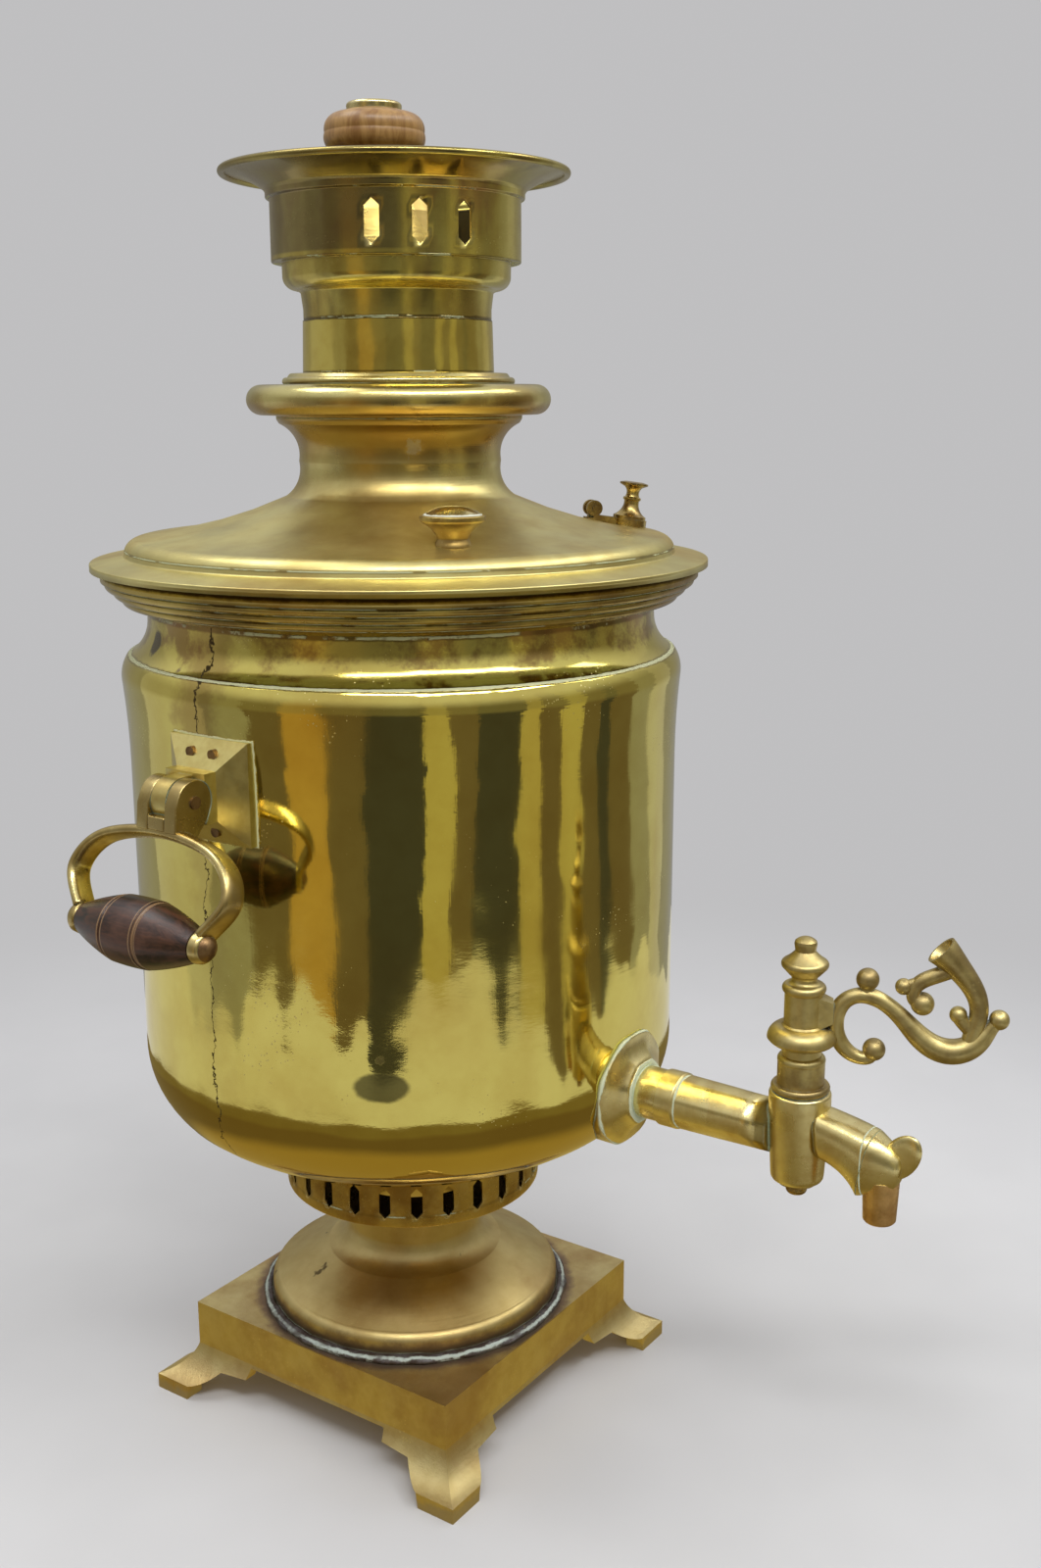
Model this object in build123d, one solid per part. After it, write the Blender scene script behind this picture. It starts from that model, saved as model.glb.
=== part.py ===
from build123d import *
from math import asin, cos, radians, sin, sqrt
import os

# A charcoal samovar of sheet brass, millimetres, +Z up. The origin is on the body's axis at floor level.
# The tap points along -Y and the two carrying handles stand on -X and +X.
# Heights chain upwards from the floor; every radius is measured from the body's axis.

# Driving dimensions: sheet and fits
sheet = 1.4  # spun brass sheet
running_fit = 0.06  # radial gap of a turning pin or plug
swing_gap = 0.35  # gap between faces that swing past each other
slip_gap = 0.4  # radial gap of a part that lifts off

# Driving dimensions: cast plinth
plinth_side = 134.0
plinth_height = 39.0
plinth_skirt = 21.0  # height of the plain skirt, top to arch
plinth_wall = 4.0
foot_spread = 160.0  # across two feet, outside
foot_length = 17.0
foot_pad = 6.5
plinth_hole = 52.0

# Driving dimensions: pedestal and air collar
pedestal_height = 54.6
pedestal_foot_radius = 62.0
pedestal_neck_radius = 28.7
pedestal_edge = 6.5  # upright edge of the foot
pedestal_edge_round = 3.8
pedestal_dome = 20.5  # top of the foot's dome above the plinth
pedestal_cove = 8.5  # how far the cove under the neck runs out
pedestal_neck_low = 31.0
pedestal_flare = 8.0
pedestal_flare_height = 12.0
solder_width = 4.6
solder_height = 5.8
collar_radius = 54.0
collar_height = 27.0
collar_mouth = 30.0
air_slots = 26
air_slot_width = 4.7
air_slot_height = 13.5
air_slot_point = 2.4
air_slot_above_edge = 3.6

# Driving dimensions: body
body_height = 231.5  # from the collar to the top of the neck
body_radius = 109.4
body_flare = 1.6  # how much wider the wall is at the shoulder
flare_height = 32.0
bottom_rise = 44.0
shoulder_drop = 40.0
shoulder_turn = 2.4  # how far the shoulder rounds in before the step
shoulder_step = 2.2
neck_step = 9.8  # the neck stands in from the wall
neck_cove = 10.4  # height of the cove between the shoulder and the neck
bottom_edge = 5.0  # how far the flat of the bottom runs out past the collar
ring_overhang = 17.6  # the ring stands out from the neck
ring_height = 15.9
ring_lip = 4.2  # upright edge under the lid
ring_foot = 3.0
ring_reeds = 3
reed_step = 3.1
reed_bulge = 0.9

# Driving dimensions: fire tube
fire_tube_radius = 46.0
chimney_radius = 34.3
chimney_top_above_body = 103.0
chimney_start = 20.0  # below the top of the neck
fire_tube_taper = 110.0  # length over which the tube narrows
grate_ledge = 5.0
fire_tube_below = 4.0
chimney_sleeve_top_radius = 36.4
chimney_sleeve_flare = 1.3
chimney_sleeve_length = 46.0
grate_thickness = 3.0
grate_bar_gap = 5.0
grate_gaps = 7
grate_border = 5.0

# Driving dimensions: lid
lid_overhang = 3.7  # the lid's rim stands out from the ring
lid_rim_edge = 2.6
lid_step_inset = 12.9
lid_step_height = 9.3
lid_neck_above_seat = 40.0
lid_lip_radius = 47.8
bolster_radius = 59.0
bolster_thickness = 11.4
lid_collar_radius = 43.2
lid_height = 73.0
lid_above_neck = 3.4
lid_collar_height = 4.2
lid_spigot_depth = 7.5
lid_knob_inset = 24.7  # from the lid's step to the knobs
lid_knob_turn = -39.0  # degrees from the tap, seen from above
lid_knob_height = 13.0
lid_knob_radius = 11.6

# Driving dimensions: steam vent on the lid
vent_turn = 48.0
vent_inset = 21.5  # from the lid's step to the vent's cap
vent_reach = 16.0  # hinge pin to cap
vent_tilt = 8.0
vent_cap_radius = 7.2
vent_cap_height = 15.0
vent_hole = 2.6
vent_knuckle_radius = 3.2
vent_pin_radius = 1.1
vent_strap_width = 7.0
vent_strap = 1.3

# Driving dimensions: crown, which carries the teapot
crown_rim_radius = 66.4
crown_drum_radius = 47.6
crown_drum_height = 22.6
crown_shoulder_radius = 43.7
crown_foot_height = 21.0
crown_lap = 7.0  # how far the chimney stands up inside the crown's foot
crown_flare_height = 11.2
crown_wire = 1.4
crown_slot_width = 5.8
crown_slot_height = 15.6
crown_slot_point = 2.6
crown_slot_pitch = 21.0
crown_slot_turn = -41.0
crown_flue_radius = 29.0
crown_floor_thickness = 1.2

# Driving dimensions: chimney cap
cap_radius = 36.5
cap_shift = (-4.6, 5.9)
cap_top_height = 55.4  # crown floor to the top of the brass button
cap_knob_radius = 19.8
cap_knob_height = 15.5
cap_button_radius = 10.1
cap_button_height = 2.4
cap_stud_radius = 3.0
cap_sheet = 1.2

# Driving dimensions: carrying handles
handle_below_shoulder = 27.7  # hinge axis to the end of the straight wall
handle_reach = 18.0  # hinge axis to the body wall
handle_plate_side = 37.5
handle_plate_rim = 1.0
handle_plate_rise = 7.5
lug_width = 19.0
lug_height = 18.0
tongue_width = 7.0
knuckle_radius = 8.0
hinge_pin_radius = 2.3
handle_hang = 24.0  # degrees that the hanging handle stands out from the vertical
handle_arm = 47.0  # hinge axis to grip axis
bow_half_width = 37.4
bow_strap = 3.6
bow_strap_width = 10.0
grip_length = 55.0
grip_radius = 12.0
grip_end_radius = 5.6
grip_eye = 4.5
grip_rod_radius = 1.8
grip_rod_head = 2.6
rivet_radius = 1.9
rivet_spacing = 10.6
rivet_head = 0.9

# Driving dimensions: tap
tap_above_bottom = 37.4  # tap's own line above the vessel's bottom
tap_reach = 180.0  # body axis to plug axis
tap_flange_across = 49.0
tap_flange_front = 26.0
tap_flange_edge = 1.6
tap_flange_rise = 7.0
tap_shank_radius = 10.1
tap_shank_length = 16.6
tap_tube_across = 20.0
tap_tube_taper = 1.4
tap_bore = 4.2
tap_tail_radius = 8.0
tap_tail = 22.0  # length inside the vessel
housing_radius = 11.3
housing_taper = 1.6
housing_height = 35.0
housing_below = 18.5
plug_radius = 7.6
plug_taper = 1.2
spindle_radius = 2.2
plug_key_turn = 25.0  # degrees that the key stands from the tap's own line
plug_port = 3.0
finial_radius = 12.7
finial_height = 54.0
key_reach = 68.0  # plug axis to the ball at the key's far end
nozzle_radius = 6.6
nozzle_reach = 32.5  # plug axis to nozzle axis
nozzle_drop = 25.5  # tap's own line to the nozzle's mouth
spout_collar = 27.5  # plug axis to the joint between spout and nose
spout_width = 18.0
spout_height = 25.0
nozzle_root = 9.0  # below the tap's own line
leaf_reach = 16.3  # nozzle axis to the tip of the leaf
leaf_thickness = 3.2
back_nut_across = 30.0
back_nut_thickness = 5.0
strainer_radius = 13.0
strainer_depth = 12.0

# Heights and radii that follow
collar_z = plinth_height + pedestal_height
body_z = collar_z + collar_height
neck_top_z = body_z + body_height
lid_z = neck_top_z + lid_above_neck
shoulder_z = neck_top_z - shoulder_drop
wall_z = body_z + bottom_rise
ring_z = lid_z - ring_height
chimney_top_z = neck_top_z + chimney_top_above_body
crown_z = chimney_top_z - crown_lap
drum_z = crown_z + crown_foot_height
rim_z = drum_z + crown_drum_height + crown_flare_height
neck_radius = body_radius - neck_step
ring_radius = neck_radius + ring_overhang
lid_rim_radius = ring_radius + lid_overhang
lid_step_radius = lid_rim_radius - lid_step_inset
lid_knob_ring = lid_step_radius - lid_knob_inset
vent_ring = lid_step_radius - vent_inset
shoulder_wall_radius = body_radius + body_flare
tap_height = body_z + tap_above_bottom
handle_height = shoulder_z - handle_below_shoulder


def at(point):
    return Vector(point[0], 0, point[1])


def edges_of(*path):
    """Joined edges in the XZ plane: (r, z) is a straight run, ((r, z), (r, z)) an arc through the first."""
    here, made = path[0], []
    for step in path[1:]:
        if isinstance(step[0], tuple):
            made.append(ThreePointArc(at(here), at(step[0]), at(step[1])))
            here = step[1]
        else:
            made.append(Line(at(here), at(step)))
            here = step
    return made


def turned(*path):
    """A solid of revolution about Z; the outline is closed from its last point to its first."""
    closing = () if end_of(path) == path[0] else (path[0],)
    return revolve(make_face(edges_of(*path, *closing)), Axis.Z, 360)


def spun(*path, wall=sheet):
    """A sheet shell of revolution: path is its outer line, bottom to top, and the wall lies inside it."""
    line = Wire(edges_of(*path))
    for side in (Side.RIGHT, Side.LEFT):
        band = Face(line.offset_2d(wall, kind=Kind.INTERSECTION, side=side, closed=True))
        if band.center(CenterOf.MASS).X < line.center(CenterOf.MASS).X:
            break
    return revolve(band, Axis.Z, 360)


def filled(*path):
    """The solid that lies inside an outer line."""
    return turned((0, path[0][1]), *path, (0, end_of(path)[1]))


def end_of(path):
    last = path[-1]
    return last[1] if isinstance(last[0], tuple) else last


def profile(radius, low, height, *path):
    """An outline given in shares of a radius and of a height, made real above a level."""
    steps = [step if isinstance(step[0], tuple) else (step,) for step in path]
    real = [[(r * radius, low + z * height) for r, z in step] for step in steps]
    return [tuple(step) if len(step) > 1 else step[0] for step in real]


def dome(radius, low, rise):
    """The arc step that closes an outline over the axis, from (radius, low), as part of a sphere."""
    sphere = (radius**2 + rise**2) / (2 * rise)
    half = asin(radius / sphere) / 2
    return (sphere * sin(half), low + rise - sphere + sphere * cos(half)), (0, low + rise)


def rod(radius, start, end):
    """A round bar from start to end."""
    a, b = Vector(*start), Vector(*end)
    run = b - a
    upright = Cylinder(radius, run.length, align=(Align.CENTER, Align.CENTER, Align.MIN))
    return Plane(origin=a, z_dir=run) * upright


def frustum(place, width, height, rise, small_width, small_height):
    """A four-sided frustum from a rectangle on a plane to a smaller one above it."""
    return loft([place * Rectangle(width, height), place.offset(rise) * Rectangle(small_width, small_height)])


def block(x0, x1, y0, y1, z0, z1):
    """A box between two corners."""
    size = Box(x1 - x0, y1 - y0, z1 - z0, align=Align.MIN)
    return Pos(x0, y0, z0) * size


def turn_z(degree):
    return Rot(0, 0, degree)


def save(node, shape):
    """Write one node; a shape of several solids stays one compound."""
    solids = shape.solids()
    export_step(solids[0] if len(solids) == 1 else Compound(solids), f"parts/{node}.step")
    return shape


os.makedirs("parts", exist_ok=True)


# Plinth: a square cast tray upside down, its skirt cut into four bracket feet that sweep out at the floor.
def flared_block(side, spread, low, high):
    """A square block whose four sides sweep out towards the floor, mitred at the corners."""
    straight_z = plinth_height - plinth_skirt + 1.5
    middle = ((side + spread) / 4 - 2.2, (straight_z + foot_pad) / 2 - 1.0)
    half = [
        (0, high), (side / 2, high), (side / 2, straight_z),
        (middle, (spread / 2, foot_pad)), (spread / 2, low), (0, low),
    ]
    face = make_face(edges_of(*half, half[0]))
    face += mirror(face, Plane.YZ)
    along_y = extrude(face, spread, both=True)
    return along_y & turn_z(90) * along_y


def arch_cut():
    """The bracket outline that is cut through one pair of sides, between the feet."""
    inner = foot_spread / 2 - foot_length
    ear, top = plinth_height - plinth_skirt - 4.6, plinth_height - plinth_skirt
    ear_start, ear_end = inner * 0.59, inner * 0.81
    half = [
        (0, -1), (inner, -1), (inner - 1, foot_pad), ((inner - 7.5, foot_pad + 2.2), (ear_end, ear - 1)),
        (ear_start, ear), (ear_start - 1.0, top), (0, top),
    ]
    face = make_face(edges_of(*half, half[0]))
    face += mirror(face, Plane.YZ)
    return extrude(face, foot_spread, both=True)


tray = flared_block(plinth_side, foot_spread, 0, plinth_height)
inner_side = plinth_side - 2 * plinth_wall
hollow = flared_block(inner_side, foot_spread - 2 * plinth_wall - 9, -1, plinth_height - plinth_wall)
cut = arch_cut()
plinth = tray - hollow - cut - turn_z(90) * cut
plinth -= Pos(0, 0, plinth_height) * Cylinder(plinth_hole, 4 * plinth_wall)
save("plinth", plinth)

# Pedestal: a spun foot, domed at the bottom and drawn in to a neck, soldered to the plinth.
foot_r, neck_r = pedestal_foot_radius, pedestal_neck_radius
foot_z = plinth_height
edge_z = foot_z + pedestal_edge
round_r, round_z = foot_r - pedestal_edge_round * 0.84, edge_z + pedestal_edge_round
cove_r, cove_z = neck_r + pedestal_cove, foot_z + pedestal_dome
neck_low = foot_z + pedestal_neck_low
neck_high = collar_z - pedestal_flare_height
pedestal_line = [
    (foot_r, foot_z), (foot_r, edge_z),
    ((foot_r - pedestal_edge_round * 0.21, edge_z + pedestal_edge_round * 0.6), (round_r, round_z)),
    ((round_r * 0.454 + cove_r * 0.546, round_z * 0.52 + cove_z * 0.48), (cove_r, cove_z)),
    ((neck_r + pedestal_cove * 0.24, cove_z * 0.65 + neck_low * 0.35), (neck_r, neck_low)),
    (neck_r, neck_high),
    (
        (neck_r + pedestal_flare * 0.28, neck_high + pedestal_flare_height * 0.62),
        (neck_r + pedestal_flare, collar_z),
    ),
]
pedestal = spun(*pedestal_line)
pedestal = split(pedestal, Plane.XY.offset(collar_z), keep=Keep.BOTTOM)
save("pedestal", pedestal)
solder_r = foot_r + solder_width
save("solder_ring", turned(
    (foot_r, foot_z), (solder_r, foot_z),
    ((solder_r - solder_width * 0.13, foot_z + solder_height * 0.38),
     (solder_r - solder_width * 0.44, foot_z + solder_height * 0.45)),
    (foot_r + solder_width * 0.44, foot_z + solder_height * 0.55),
    ((foot_r + solder_width * 0.3, foot_z + solder_height * 0.9), (foot_r, foot_z + solder_height)),
))

# Air collar: a pierced band under the body that lets the draught in to the fire.
collar = turned(
    (collar_mouth, collar_z), (collar_radius, collar_z), (collar_radius, body_z),
    (collar_radius - sheet, body_z),
    (collar_radius - sheet, collar_z + sheet), (collar_mouth, collar_z + sheet),
)


def pointed_slot(width, height, point, depth):
    """A bar along -Y whose section is an upright slot with pointed ends."""
    side, tip = width / 2, height / 2
    section = Polyline(
        (-side, point - tip), (0, -tip), (side, point - tip), (side, tip - point), (0, tip),
        (-side, tip - point),
        close=True,
    )
    return extrude(Plane.XZ * make_face(section), depth)


slot_z = collar_z + air_slot_above_edge + air_slot_height / 2
slot = pointed_slot(air_slot_width, air_slot_height, air_slot_point, collar_radius)
slot = Pos(0, -collar_radius / 2, slot_z) * slot
for step in range(air_slots):
    collar -= turn_z((step + 0.37) * 360 / air_slots) * slot
save("air_collar", collar)

# Body: the water vessel, one spun sheet from the hole for the fire tube to the top of the neck.
edge_r = collar_radius + bottom_edge
turn_r = shoulder_wall_radius - shoulder_turn
flare_z = shoulder_z - flare_height
cove_start, cove_end = neck_top_z - shoulder_drop * 0.735, neck_top_z - shoulder_drop * 0.735 + neck_cove
body_line = [
    (fire_tube_radius, body_z), (edge_r, body_z),
    ((body_radius - bottom_rise * 0.545, body_z + bottom_rise * 0.16),
     (body_radius - bottom_rise * 0.227, body_z + bottom_rise * 0.375)),
    ((body_radius - bottom_rise * 0.073, body_z + bottom_rise * 0.614), (body_radius, wall_z)),
    (body_radius, flare_z),
    ((body_radius + body_flare * 0.27, flare_z + flare_height / 2), (shoulder_wall_radius, shoulder_z)),
    ((turn_r + shoulder_turn * 0.87, shoulder_z + (cove_start - shoulder_z) * 0.55), (turn_r, cove_start - 0.4)),
    (turn_r - shoulder_step, cove_start),
    ((neck_radius + neck_cove * 0.115, cove_start + neck_cove * 0.47), (neck_radius, cove_end)),
    (neck_radius, neck_top_z),
]
body_shell = spun(*body_line)
body_solid = filled(*body_line)

# Top ring: a turned band of reeded mouldings, slipped over the neck; the lid rests on its flat top.
ring_steps = [(ring_radius, lid_z), (ring_radius, lid_z - ring_lip)]
reed = (ring_height - ring_lip - ring_foot) / ring_reeds
for count in range(ring_reeds):
    reed_r = ring_radius - ring_foot * 0.8 - reed_step * count
    reed_z = lid_z - ring_lip - reed * count
    ring_steps += [(reed_r, reed_z), ((reed_r + reed_bulge, reed_z - reed / 2), (reed_r, reed_z - reed))]
ring_steps += [
    (neck_radius + ring_foot * 1.2, ring_z + ring_foot),
    ((neck_radius + ring_foot / 3, ring_z + ring_foot * 0.4), (neck_radius, ring_z)),
]
top_ring = turned(
    (neck_radius, ring_z), (neck_radius, neck_top_z), (neck_radius - sheet, neck_top_z),
    (neck_radius - sheet, lid_z),
    *ring_steps,
)
save("top_ring", top_ring)
mouth_radius = neck_radius - sheet

# Fire tube: the iron tube through the vessel, wide at the grate and narrowed to the chimney.
tube_z = body_z - fire_tube_below
chimney_z = neck_top_z - chimney_start
taper_z = chimney_z - fire_tube_taper
taper_mid = fire_tube_radius * 0.79 + chimney_radius * 0.21, chimney_z - fire_tube_taper * 0.545
fire_tube = turned(
    (fire_tube_radius - grate_ledge, tube_z), (fire_tube_radius, tube_z), (fire_tube_radius, taper_z),
    (taper_mid, (chimney_radius, chimney_z)), (chimney_radius, chimney_top_z),
    (chimney_radius - sheet, chimney_top_z), (chimney_radius - sheet, chimney_z),
    ((taper_mid[0] - sheet, taper_mid[1]), (fire_tube_radius - sheet, taper_z)),
    (fire_tube_radius - sheet, tube_z + sheet), (fire_tube_radius - grate_ledge, tube_z + sheet),
)
save("fire_tube", fire_tube)
save("chimney_sleeve", turned(
    (chimney_radius, crown_z - chimney_sleeve_length),
    (chimney_sleeve_top_radius + chimney_sleeve_flare, crown_z - chimney_sleeve_length),
    (chimney_sleeve_top_radius, crown_z), (chimney_radius, crown_z),
))

# Grate: a cast disc with straight gaps that carries the charcoal, loose on the ledge inside the fire tube.
grate_r = fire_tube_radius - sheet - slip_gap
grate_z = tube_z + sheet
grate = Pos(0, 0, grate_z) * Cylinder(grate_r, grate_thickness, align=(Align.CENTER, Align.CENTER, Align.MIN))
gap_pitch = 2 * (grate_r - grate_border) / (grate_gaps + 0.5)
for count in range(grate_gaps):
    gap_x = (count - (grate_gaps - 1) / 2) * gap_pitch
    gap_half = sqrt((grate_r - grate_border) ** 2 - gap_x**2) - grate_border * 0.4
    grate -= block(
        gap_x - grate_bar_gap / 2, gap_x + grate_bar_gap / 2, -gap_half, gap_half, tube_z,
        grate_z + 2 * grate_thickness
    )
save("grate", grate)

# Lid: one spun sheet with a flat rim, a step, a low dome and a neck, and a spigot inside the vessel's mouth.
seat = lid_z
neck_z = seat + lid_neck_above_seat
hole_radius = chimney_sleeve_top_radius + chimney_sleeve_flare + slip_gap
lid_neck_radius = hole_radius + sheet
bolster_top = seat + lid_height - lid_collar_height
bolster_low = bolster_top - bolster_thickness
bolster_edge = bolster_radius - bolster_thickness / 2
step_z = seat + lid_step_height
lid_line = [
    (lid_rim_radius, seat), (lid_rim_radius, seat + lid_rim_edge),
    (lid_step_radius, seat + lid_rim_edge + 2.4),
    (lid_step_radius - 0.6, step_z - 1.6),
    ((lid_step_radius - 2.0, step_z + 0.4), (lid_step_radius - 6.5, step_z + 2.0)),
    ((lid_neck_radius + 24, seat + 19.4), (lid_neck_radius + 5.6, seat + 26.4)),
    ((lid_neck_radius + 1.3, seat + 31.0), (lid_neck_radius, neck_z)),
    ((lid_neck_radius + 1.2, neck_z + 8.5), (lid_lip_radius - 1.0, bolster_low - 3.2)),
    (lid_lip_radius, bolster_low - 1.6), (lid_lip_radius, bolster_low),
]
spigot_r = mouth_radius - slip_gap
lid_inner = [
    (lid_lip_radius - sheet, bolster_low), (lid_lip_radius - 1.0 - sheet, bolster_low - 3.2),
    ((lid_neck_radius + 1.2 - sheet, neck_z + 8.5), (lid_neck_radius - sheet, neck_z)),
    ((lid_neck_radius + 1.3 - sheet, seat + 31.0 - sheet / 2), (lid_neck_radius + 5.2, seat + 26.4 - sheet)),
    ((lid_neck_radius + 24, seat + 19.4 - sheet), (spigot_r - sheet, step_z + 2.6 - sheet)),
    (spigot_r - sheet, seat - lid_spigot_depth), (spigot_r, seat - lid_spigot_depth), (spigot_r, seat),
]
lid = turned(*lid_line, *lid_inner)
lid_solid = filled(*lid_line)
lid_hollow = filled(*lid_inner[:-2])

# Lid bolster: a hollow rolled ring with a low collar, soldered to the lip of the lid's neck.
bolster_line = [
    (lid_lip_radius, bolster_low), (bolster_edge, bolster_low),
    ((bolster_radius, bolster_low + bolster_thickness / 2), (bolster_edge, bolster_top)),
    (lid_collar_radius + 1.2, bolster_top),
    ((lid_collar_radius + 1.8, bolster_top + 1.4), (lid_collar_radius, bolster_top + 2.6)),
    (lid_collar_radius - 1.2, seat + lid_height), (hole_radius, seat + lid_height),
]
bolster_inner = [
    (hole_radius, seat + lid_height - sheet), (lid_collar_radius - sheet, seat + lid_height - sheet),
    (lid_collar_radius - sheet, bolster_top - sheet), (bolster_edge, bolster_top - sheet),
    ((bolster_radius - sheet, bolster_low + bolster_thickness / 2), (bolster_edge, bolster_low + sheet)),
    (lid_lip_radius - sheet, bolster_low + sheet), (lid_lip_radius - sheet, bolster_low),
]
save("lid_bolster", turned(*bolster_line, *bolster_inner))


def on_lid(ring):
    """The height of the lid's dome at a radius."""
    ray = rod(0.2, (ring, 0, seat), (ring, 0, seat + lid_height))
    return (ray & lid_solid).bounding_box().max.Z


# Lid knobs: two turned brass cups with a domed disc let in to the top, screwed through the lid.
def lid_knob(turn):
    """One knob: its cup with the stud, its disc, and the nut that holds the stud inside the lid."""
    foot = on_lid(lid_knob_ring)
    r, top = lid_knob_radius, foot + lid_knob_height
    place = turn_z(turn) * Pos(0, -lid_knob_ring, 0)
    cup = place * turned(
        (0, foot - 4), (r * 0.46, foot - 4), (r * 0.46, foot + 0.4),
        ((r * 0.50, foot + 1.8), (r * 0.44, foot + 3.4)),
        ((r * 0.40, foot + 4.6), (r * 0.50, foot + 6.0)), (r * 0.58, foot + 6.6),
        ((r * 0.62, foot + 8.2), (r * 0.78, foot + 8.8)), ((r * 0.96, foot + 9.8), (r, top - 1.2)), (r, top),
        (r - 1.0, top), (r - 1.0, top - 1.4), (0, top - 1.4),
    )
    disc_r = r - 1.25
    disc = turned((0, top - 1.4), (disc_r, top - 1.4), (disc_r, top - 0.2), dome(disc_r, top - 0.2, 2.4))
    disc = place * disc
    stud = place * rod(r * 0.2, (0, 0, foot - 9), (0, 0, foot))
    nut = place * Pos(0, 0, foot - 6.5) * extrude(RegularPolygon(r * 0.5, 6), 6)
    return cup, disc, stud, nut


knob_nuts = []
for name, turn in (("front", lid_knob_turn), ("rear", lid_knob_turn + 180)):
    cup, disc, stud, nut = lid_knob(turn)
    save(f"lid_knob_{name}", (cup - lid_solid) + stud)
    save(f"lid_knob_disc_{name}", disc)
    knob_nuts.append((nut & lid_hollow) - stud)
    lid -= stud
save("lid_knob_nuts", Compound([solid for nut in knob_nuts for solid in nut.solids()]))


# Steam vent: a strap hinged at its inner end, with a small turned cap that sits over a hole in the dome.
vent_pin_z = on_lid(vent_ring - vent_reach / 2) + vent_knuckle_radius + 1.6
vent_place = turn_z(vent_turn) * Pos(0, -(vent_ring - vent_reach / 2), vent_pin_z) * Rot(vent_tilt, 0, 0)
vent_seat_low = -vent_knuckle_radius - 0.6
vent_half = vent_strap_width / 2
lug_half = vent_half * 0.36
knuckle = rod(vent_knuckle_radius, (-vent_half, 0, 0), (vent_half, 0, 0))
vent_pin = rod(vent_pin_radius, (-vent_half - 0.6, 0, 0), (vent_half + 0.6, 0, 0))
vent_bore = rod(vent_pin_radius + running_fit, (-vent_half - 1, 0, 0), (vent_half + 1, 0, 0))
middle_gap = block(-lug_half - swing_gap, lug_half + swing_gap, -9, 9, -9, 9)
seat_plate = block(-vent_half, vent_half, -vent_reach - 1, 2.4, -9, vent_seat_low)
seat_ring = Pos(0, -vent_reach, -9) * Cylinder(vent_cap_radius, 9 + vent_seat_low,
                                               align=(Align.CENTER, Align.CENTER, Align.MIN))
seat_lug = block(-lug_half, lug_half, -1.6, 1.6, vent_seat_low, 0)
seat_lug += rod(1.9, (-lug_half, 0, 0), (lug_half, 0, 0))
steam_hole = vent_place * Pos(0, -vent_reach, 0) * Cylinder(vent_hole, 60)
vent_base = vent_place * (seat_plate + seat_ring + seat_lug - rod(vent_pin_radius, (-9, 0, 0), (9, 0, 0)))
save("vent_seat", vent_base - lid_solid - steam_hole)
save("vent_pin", vent_place * vent_pin)
save("lid", lid - steam_hole)

strap_low = vent_seat_low
strap = block(-vent_half, vent_half, -vent_reach, 0, strap_low, strap_low + vent_strap)
flap_ears = knuckle + strap - middle_gap - vent_bore
web_end = -vent_knuckle_radius - 0.6
flap_web = block(-vent_half, vent_half, -vent_reach, web_end, strap_low, strap_low + vent_strap)
cap_low = strap_low + vent_strap
vent_flap = flap_ears + flap_web
vent_flap += Pos(0, -vent_reach, strap_low) * Cylinder(vent_cap_radius, vent_strap,
                                                       align=(Align.CENTER, Align.CENTER, Align.MIN))
save("vent_flap", vent_place * vent_flap)
vent_r, vent_h = vent_cap_radius, vent_cap_height
save("vent_cap", vent_place * Pos(0, -vent_reach, cap_low) * turned(
    (0, 0), (vent_r * 0.92, 0), (vent_r * 0.92, 1.2), ((vent_r * 0.60, 3.0), (vent_r * 0.42, 6.0)),
    (vent_r * 0.42, 7.4), (vent_r * 0.5, 7.8), (vent_r * 0.5, 8.6), (vent_r * 0.4, 9.0),
    ((vent_r * 0.36, 11.0), (vent_r * 0.5, vent_h - 2.2)), (vent_r * 0.8, vent_h - 1.2),
    (vent_r * 0.8, vent_h - 0.5),
    (vent_r * 0.5, vent_h), (0, vent_h),
))


# Crown: the pierced stand on the chimney that carries the teapot, one spun sheet with a wired rim.
wire_r = crown_rim_radius - crown_wire
crown_foot_radius = chimney_radius + slip_gap + sheet
crown_line = [
    (crown_foot_radius, crown_z), (crown_foot_radius, crown_z + 4.0),
    (crown_foot_radius + 0.8, crown_z + 10.2),
    (crown_foot_radius + 1.6, crown_z + 11.0),
    ((crown_shoulder_radius - 4.0, drum_z - 6.6), (crown_shoulder_radius, drum_z - 3.6)),
    (crown_shoulder_radius, drum_z), (crown_drum_radius, drum_z),
    (crown_drum_radius, drum_z + crown_drum_height),
    (crown_drum_radius + 1.5, drum_z + crown_drum_height + 0.6),
    (crown_drum_radius + 1.5, drum_z + crown_drum_height + 2.6), (crown_drum_radius + 2.2, rim_z - 7.4),
    ((crown_drum_radius + 8.6, rim_z - 3.6), (wire_r, rim_z - crown_wire)),
]
crown = spun(*crown_line)
rim_wire = Pos(0, 0, rim_z - crown_wire) * Torus(wire_r, crown_wire)
crown -= rim_wire
crown_slot = Pos(0, -crown_drum_radius + 8, drum_z + crown_drum_height / 2)
crown_slot = crown_slot * pointed_slot(crown_slot_width, crown_slot_height, crown_slot_point, 16)
for group in range(3):
    for step in (-1, 0, 1):
        crown -= turn_z(crown_slot_turn + 120 * group + crown_slot_pitch * step) * crown_slot
save("crown", crown)
save("crown_rim_wire", rim_wire)
floor_z = drum_z + sheet
crown_inner = crown_drum_radius - sheet
floor_top = floor_z + crown_floor_thickness
save("crown_floor", turned((crown_flue_radius, floor_z), (crown_inner, floor_z), (crown_inner, floor_top),
                           (crown_flue_radius, floor_top)))

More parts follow.
